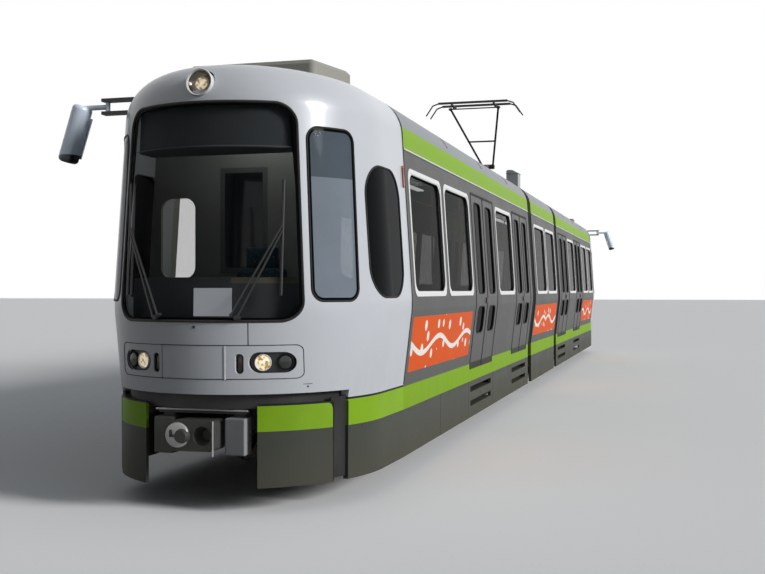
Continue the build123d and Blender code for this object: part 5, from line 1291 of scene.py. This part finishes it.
class TRAM_OT_roof(bpy.types.Operator):
    """Lay the drip rails and roof joints, and rim the pantograph's drive"""

    bl_idname = "tram.roof"
    bl_label = "Roof details"

    def rail(self, *stations):
        """A drip rail along both eaves through some stations."""
        return both_sides(tube([(x, side_y(EAVE_Z) + 0.004, EAVE_Z) for x in stations], 0.009))

    def execute(self, context):
        at_both_ends(self.rail(2.16, 6.4, 10.70), "drip_rails", "aluminium")
        fitted(self.rail(-1.70, 0, 1.70), "middle_drip_rails", "aluminium", "middle")
        outline = [(y, z) for y, z in section_outline(0.0, 3.0) if z > 3.44]
        joints = [tube([(x, y, z + 0.004) for y, z in outline], 0.005) for x in (4.1, 6.3, 8.5)]
        at_both_ends(joined(joints), "roof_joints", "roof")
        lid = slab((0.28, 0.60, 4.040), (0.61, 0.84, 4.052), 0.004)
        fitted(lid, "pantograph_drive_rim", "drive", "middle")
        return {"FINISHED"}


class TRAM_OT_mirrors(bpy.types.Operator):
    """Set the glass in the outer mirrors"""

    bl_idname = "tram.mirrors"
    bl_label = "Mirrors"

    def execute(self, context):
        glass = slab((11.658, -0.070, -0.20), (11.670, 0.070, 0.20), 0.004)
        moved(glass, at(0, -1.70, 3.29) @ spun(-18, "X"))
        at_both_ends(glass, "mirror_glass", "mirror_glass", "mirror_body")
        return {"FINISHED"}


def background_rays(add):
    """One for rays that show the white background: the camera's and those in metal and glass."""
    rays = add("LightPath").outputs
    direct = add("Math", {0: rays["Is Camera Ray"], 1: rays["Is Glossy Ray"]}, operation="MAXIMUM")
    return add("Math", {0: direct, 1: rays["Is Transmission Ray"]}, operation="MAXIMUM")


def floor_finish():
    """Matt pale floor that keeps the shadow, and throws little light back under the tram."""
    material, shader, add, place = blank("matt_studio_floor")
    speck = add("TexNoise", {"Vector": place, "Scale": 30.0, "Detail": 4.0})
    tone = add("MapRange", {0: speck, 3: 0.93, 4: 0.97})
    pale = add("Mix", {0: background_rays(add), 2: 0.16, 3: tone})
    feed(shader, {"Base Color": pale, "Roughness": 0.9, "Specular IOR Level": 0.1})
    return material


class TRAM_OT_studio(bpy.types.Operator):
    """Set a pale floor, soft lights, a white backdrop and the camera"""

    bl_idname = "tram.studio"
    bl_label = "Studio and camera"

    def backdrop(self, studio):
        """White where it is seen, a soft dome brighter overhead and on the left where it lights."""
        world = bpy.data.worlds.new("studio")
        world.use_nodes = True
        world.node_tree.nodes.clear()
        add = partial(node, world.node_tree)
        seen = background_rays(add)
        axes = add("SeparateXYZ", {0: add("TexCoord").outputs["Generated"]})
        beside, above = [
            add("MapRange", {0: axes.outputs[axis], 1: start, 2: 1.0, 3: low, 4: high},
                interpolation_type="SMOOTHSTEP")
            for axis, start, low, high in (
                ("Y", 0.35, studio.low, studio.side), ("Z", 0.1, 0.0, studio.high),
            )
        ]
        dome = add("Math", {0: beside, 1: above}, operation="ADD")
        level = add("Mix", {0: seen, 2: dome, 3: 1.0})
        tint = add("Mix", {0: seen, 6: (0.88, 0.94, 1, 1), 7: (1, 1, 1, 1)}, data_type="RGBA")
        add("OutputWorld", {0: add("Background", {"Color": tint, "Strength": level})})
        return world

    def execute(self, context):
        scene, studio = context.scene, context.scene.tram_studio
        bpy.ops.object.select_all(action="DESELECT")
        bpy.ops.mesh.primitive_plane_add(size=400, location=(0, 0, 0))
        floor = context.object
        floor.name = "studio_floor"
        floor.data.materials.append(floor_finish())
        scene.world = self.backdrop(studio)
        bpy.ops.object.light_add(type="SUN", location=(20, 20, 20))
        sun = context.object
        sun.name = "soft_key"
        sun.data.energy = 2.9
        sun.data.angle = radians(16)
        sun.rotation_euler = SUN_WAY.to_track_quat("-Z", "Y").to_euler()
        bpy.ops.object.camera_add(location=studio.eye)
        camera = context.object
        camera.data.lens = studio.lens
        camera.data.sensor_width = 36
        camera.data.clip_end = 500
        camera.rotation_euler = CAMERA_WAY.to_track_quat("-Z", "Y").to_euler()
        scene.camera = camera
        scene.view_settings.view_transform = "Standard"
        return {"FINISHED"}


class TRAM_PT_panel(bpy.types.Panel):
    bl_idname = "TRAM_PT_panel"
    bl_label = "Tram"
    bl_space_type = "VIEW_3D"
    bl_region_type = "UI"
    bl_category = "Tram"

    def draw(self, context):
        layout = self.layout
        for group_name in GROUPS:
            group = getattr(context.scene, group_name)
            for name in group.__annotations__:
                layout.prop(group, name)
        for operator in OPERATORS:
            layout.operator(operator.bl_idname)


GROUPS = {"tram_paint": TramPaint, "tram_trim": TramTrim, "tram_studio": TramStudio}
OPERATORS = [
    TRAM_OT_materials,
    TRAM_OT_gaskets,
    TRAM_OT_doors,
    TRAM_OT_lamps,
    TRAM_OT_cab,
    TRAM_OT_bellows,
    TRAM_OT_seating,
    TRAM_OT_coupler,
    TRAM_OT_roof,
    TRAM_OT_mirrors,
    TRAM_OT_studio,
]


def register():
    for name, group in GROUPS.items():
        bpy.utils.register_class(group)
        setattr(bpy.types.Scene, name, bpy.props.PointerProperty(type=group))
    for item in OPERATORS + [TRAM_PT_panel]:
        bpy.utils.register_class(item)


def unregister():
    for item in reversed(OPERATORS + [TRAM_PT_panel]):
        bpy.utils.unregister_class(item)
    for name, group in GROUPS.items():
        delattr(bpy.types.Scene, name)
        bpy.utils.unregister_class(group)


def main():
    register()
    bpy.ops.tram.materials()
    bpy.ops.tram.gaskets()
    bpy.ops.tram.doors()
    bpy.ops.tram.lamps()
    bpy.ops.tram.cab()
    bpy.ops.tram.bellows()
    bpy.ops.tram.seating()
    bpy.ops.tram.coupler()
    bpy.ops.tram.roof()
    bpy.ops.tram.mirrors()
    bpy.ops.tram.studio()


if __name__ == "__main__":
    main()
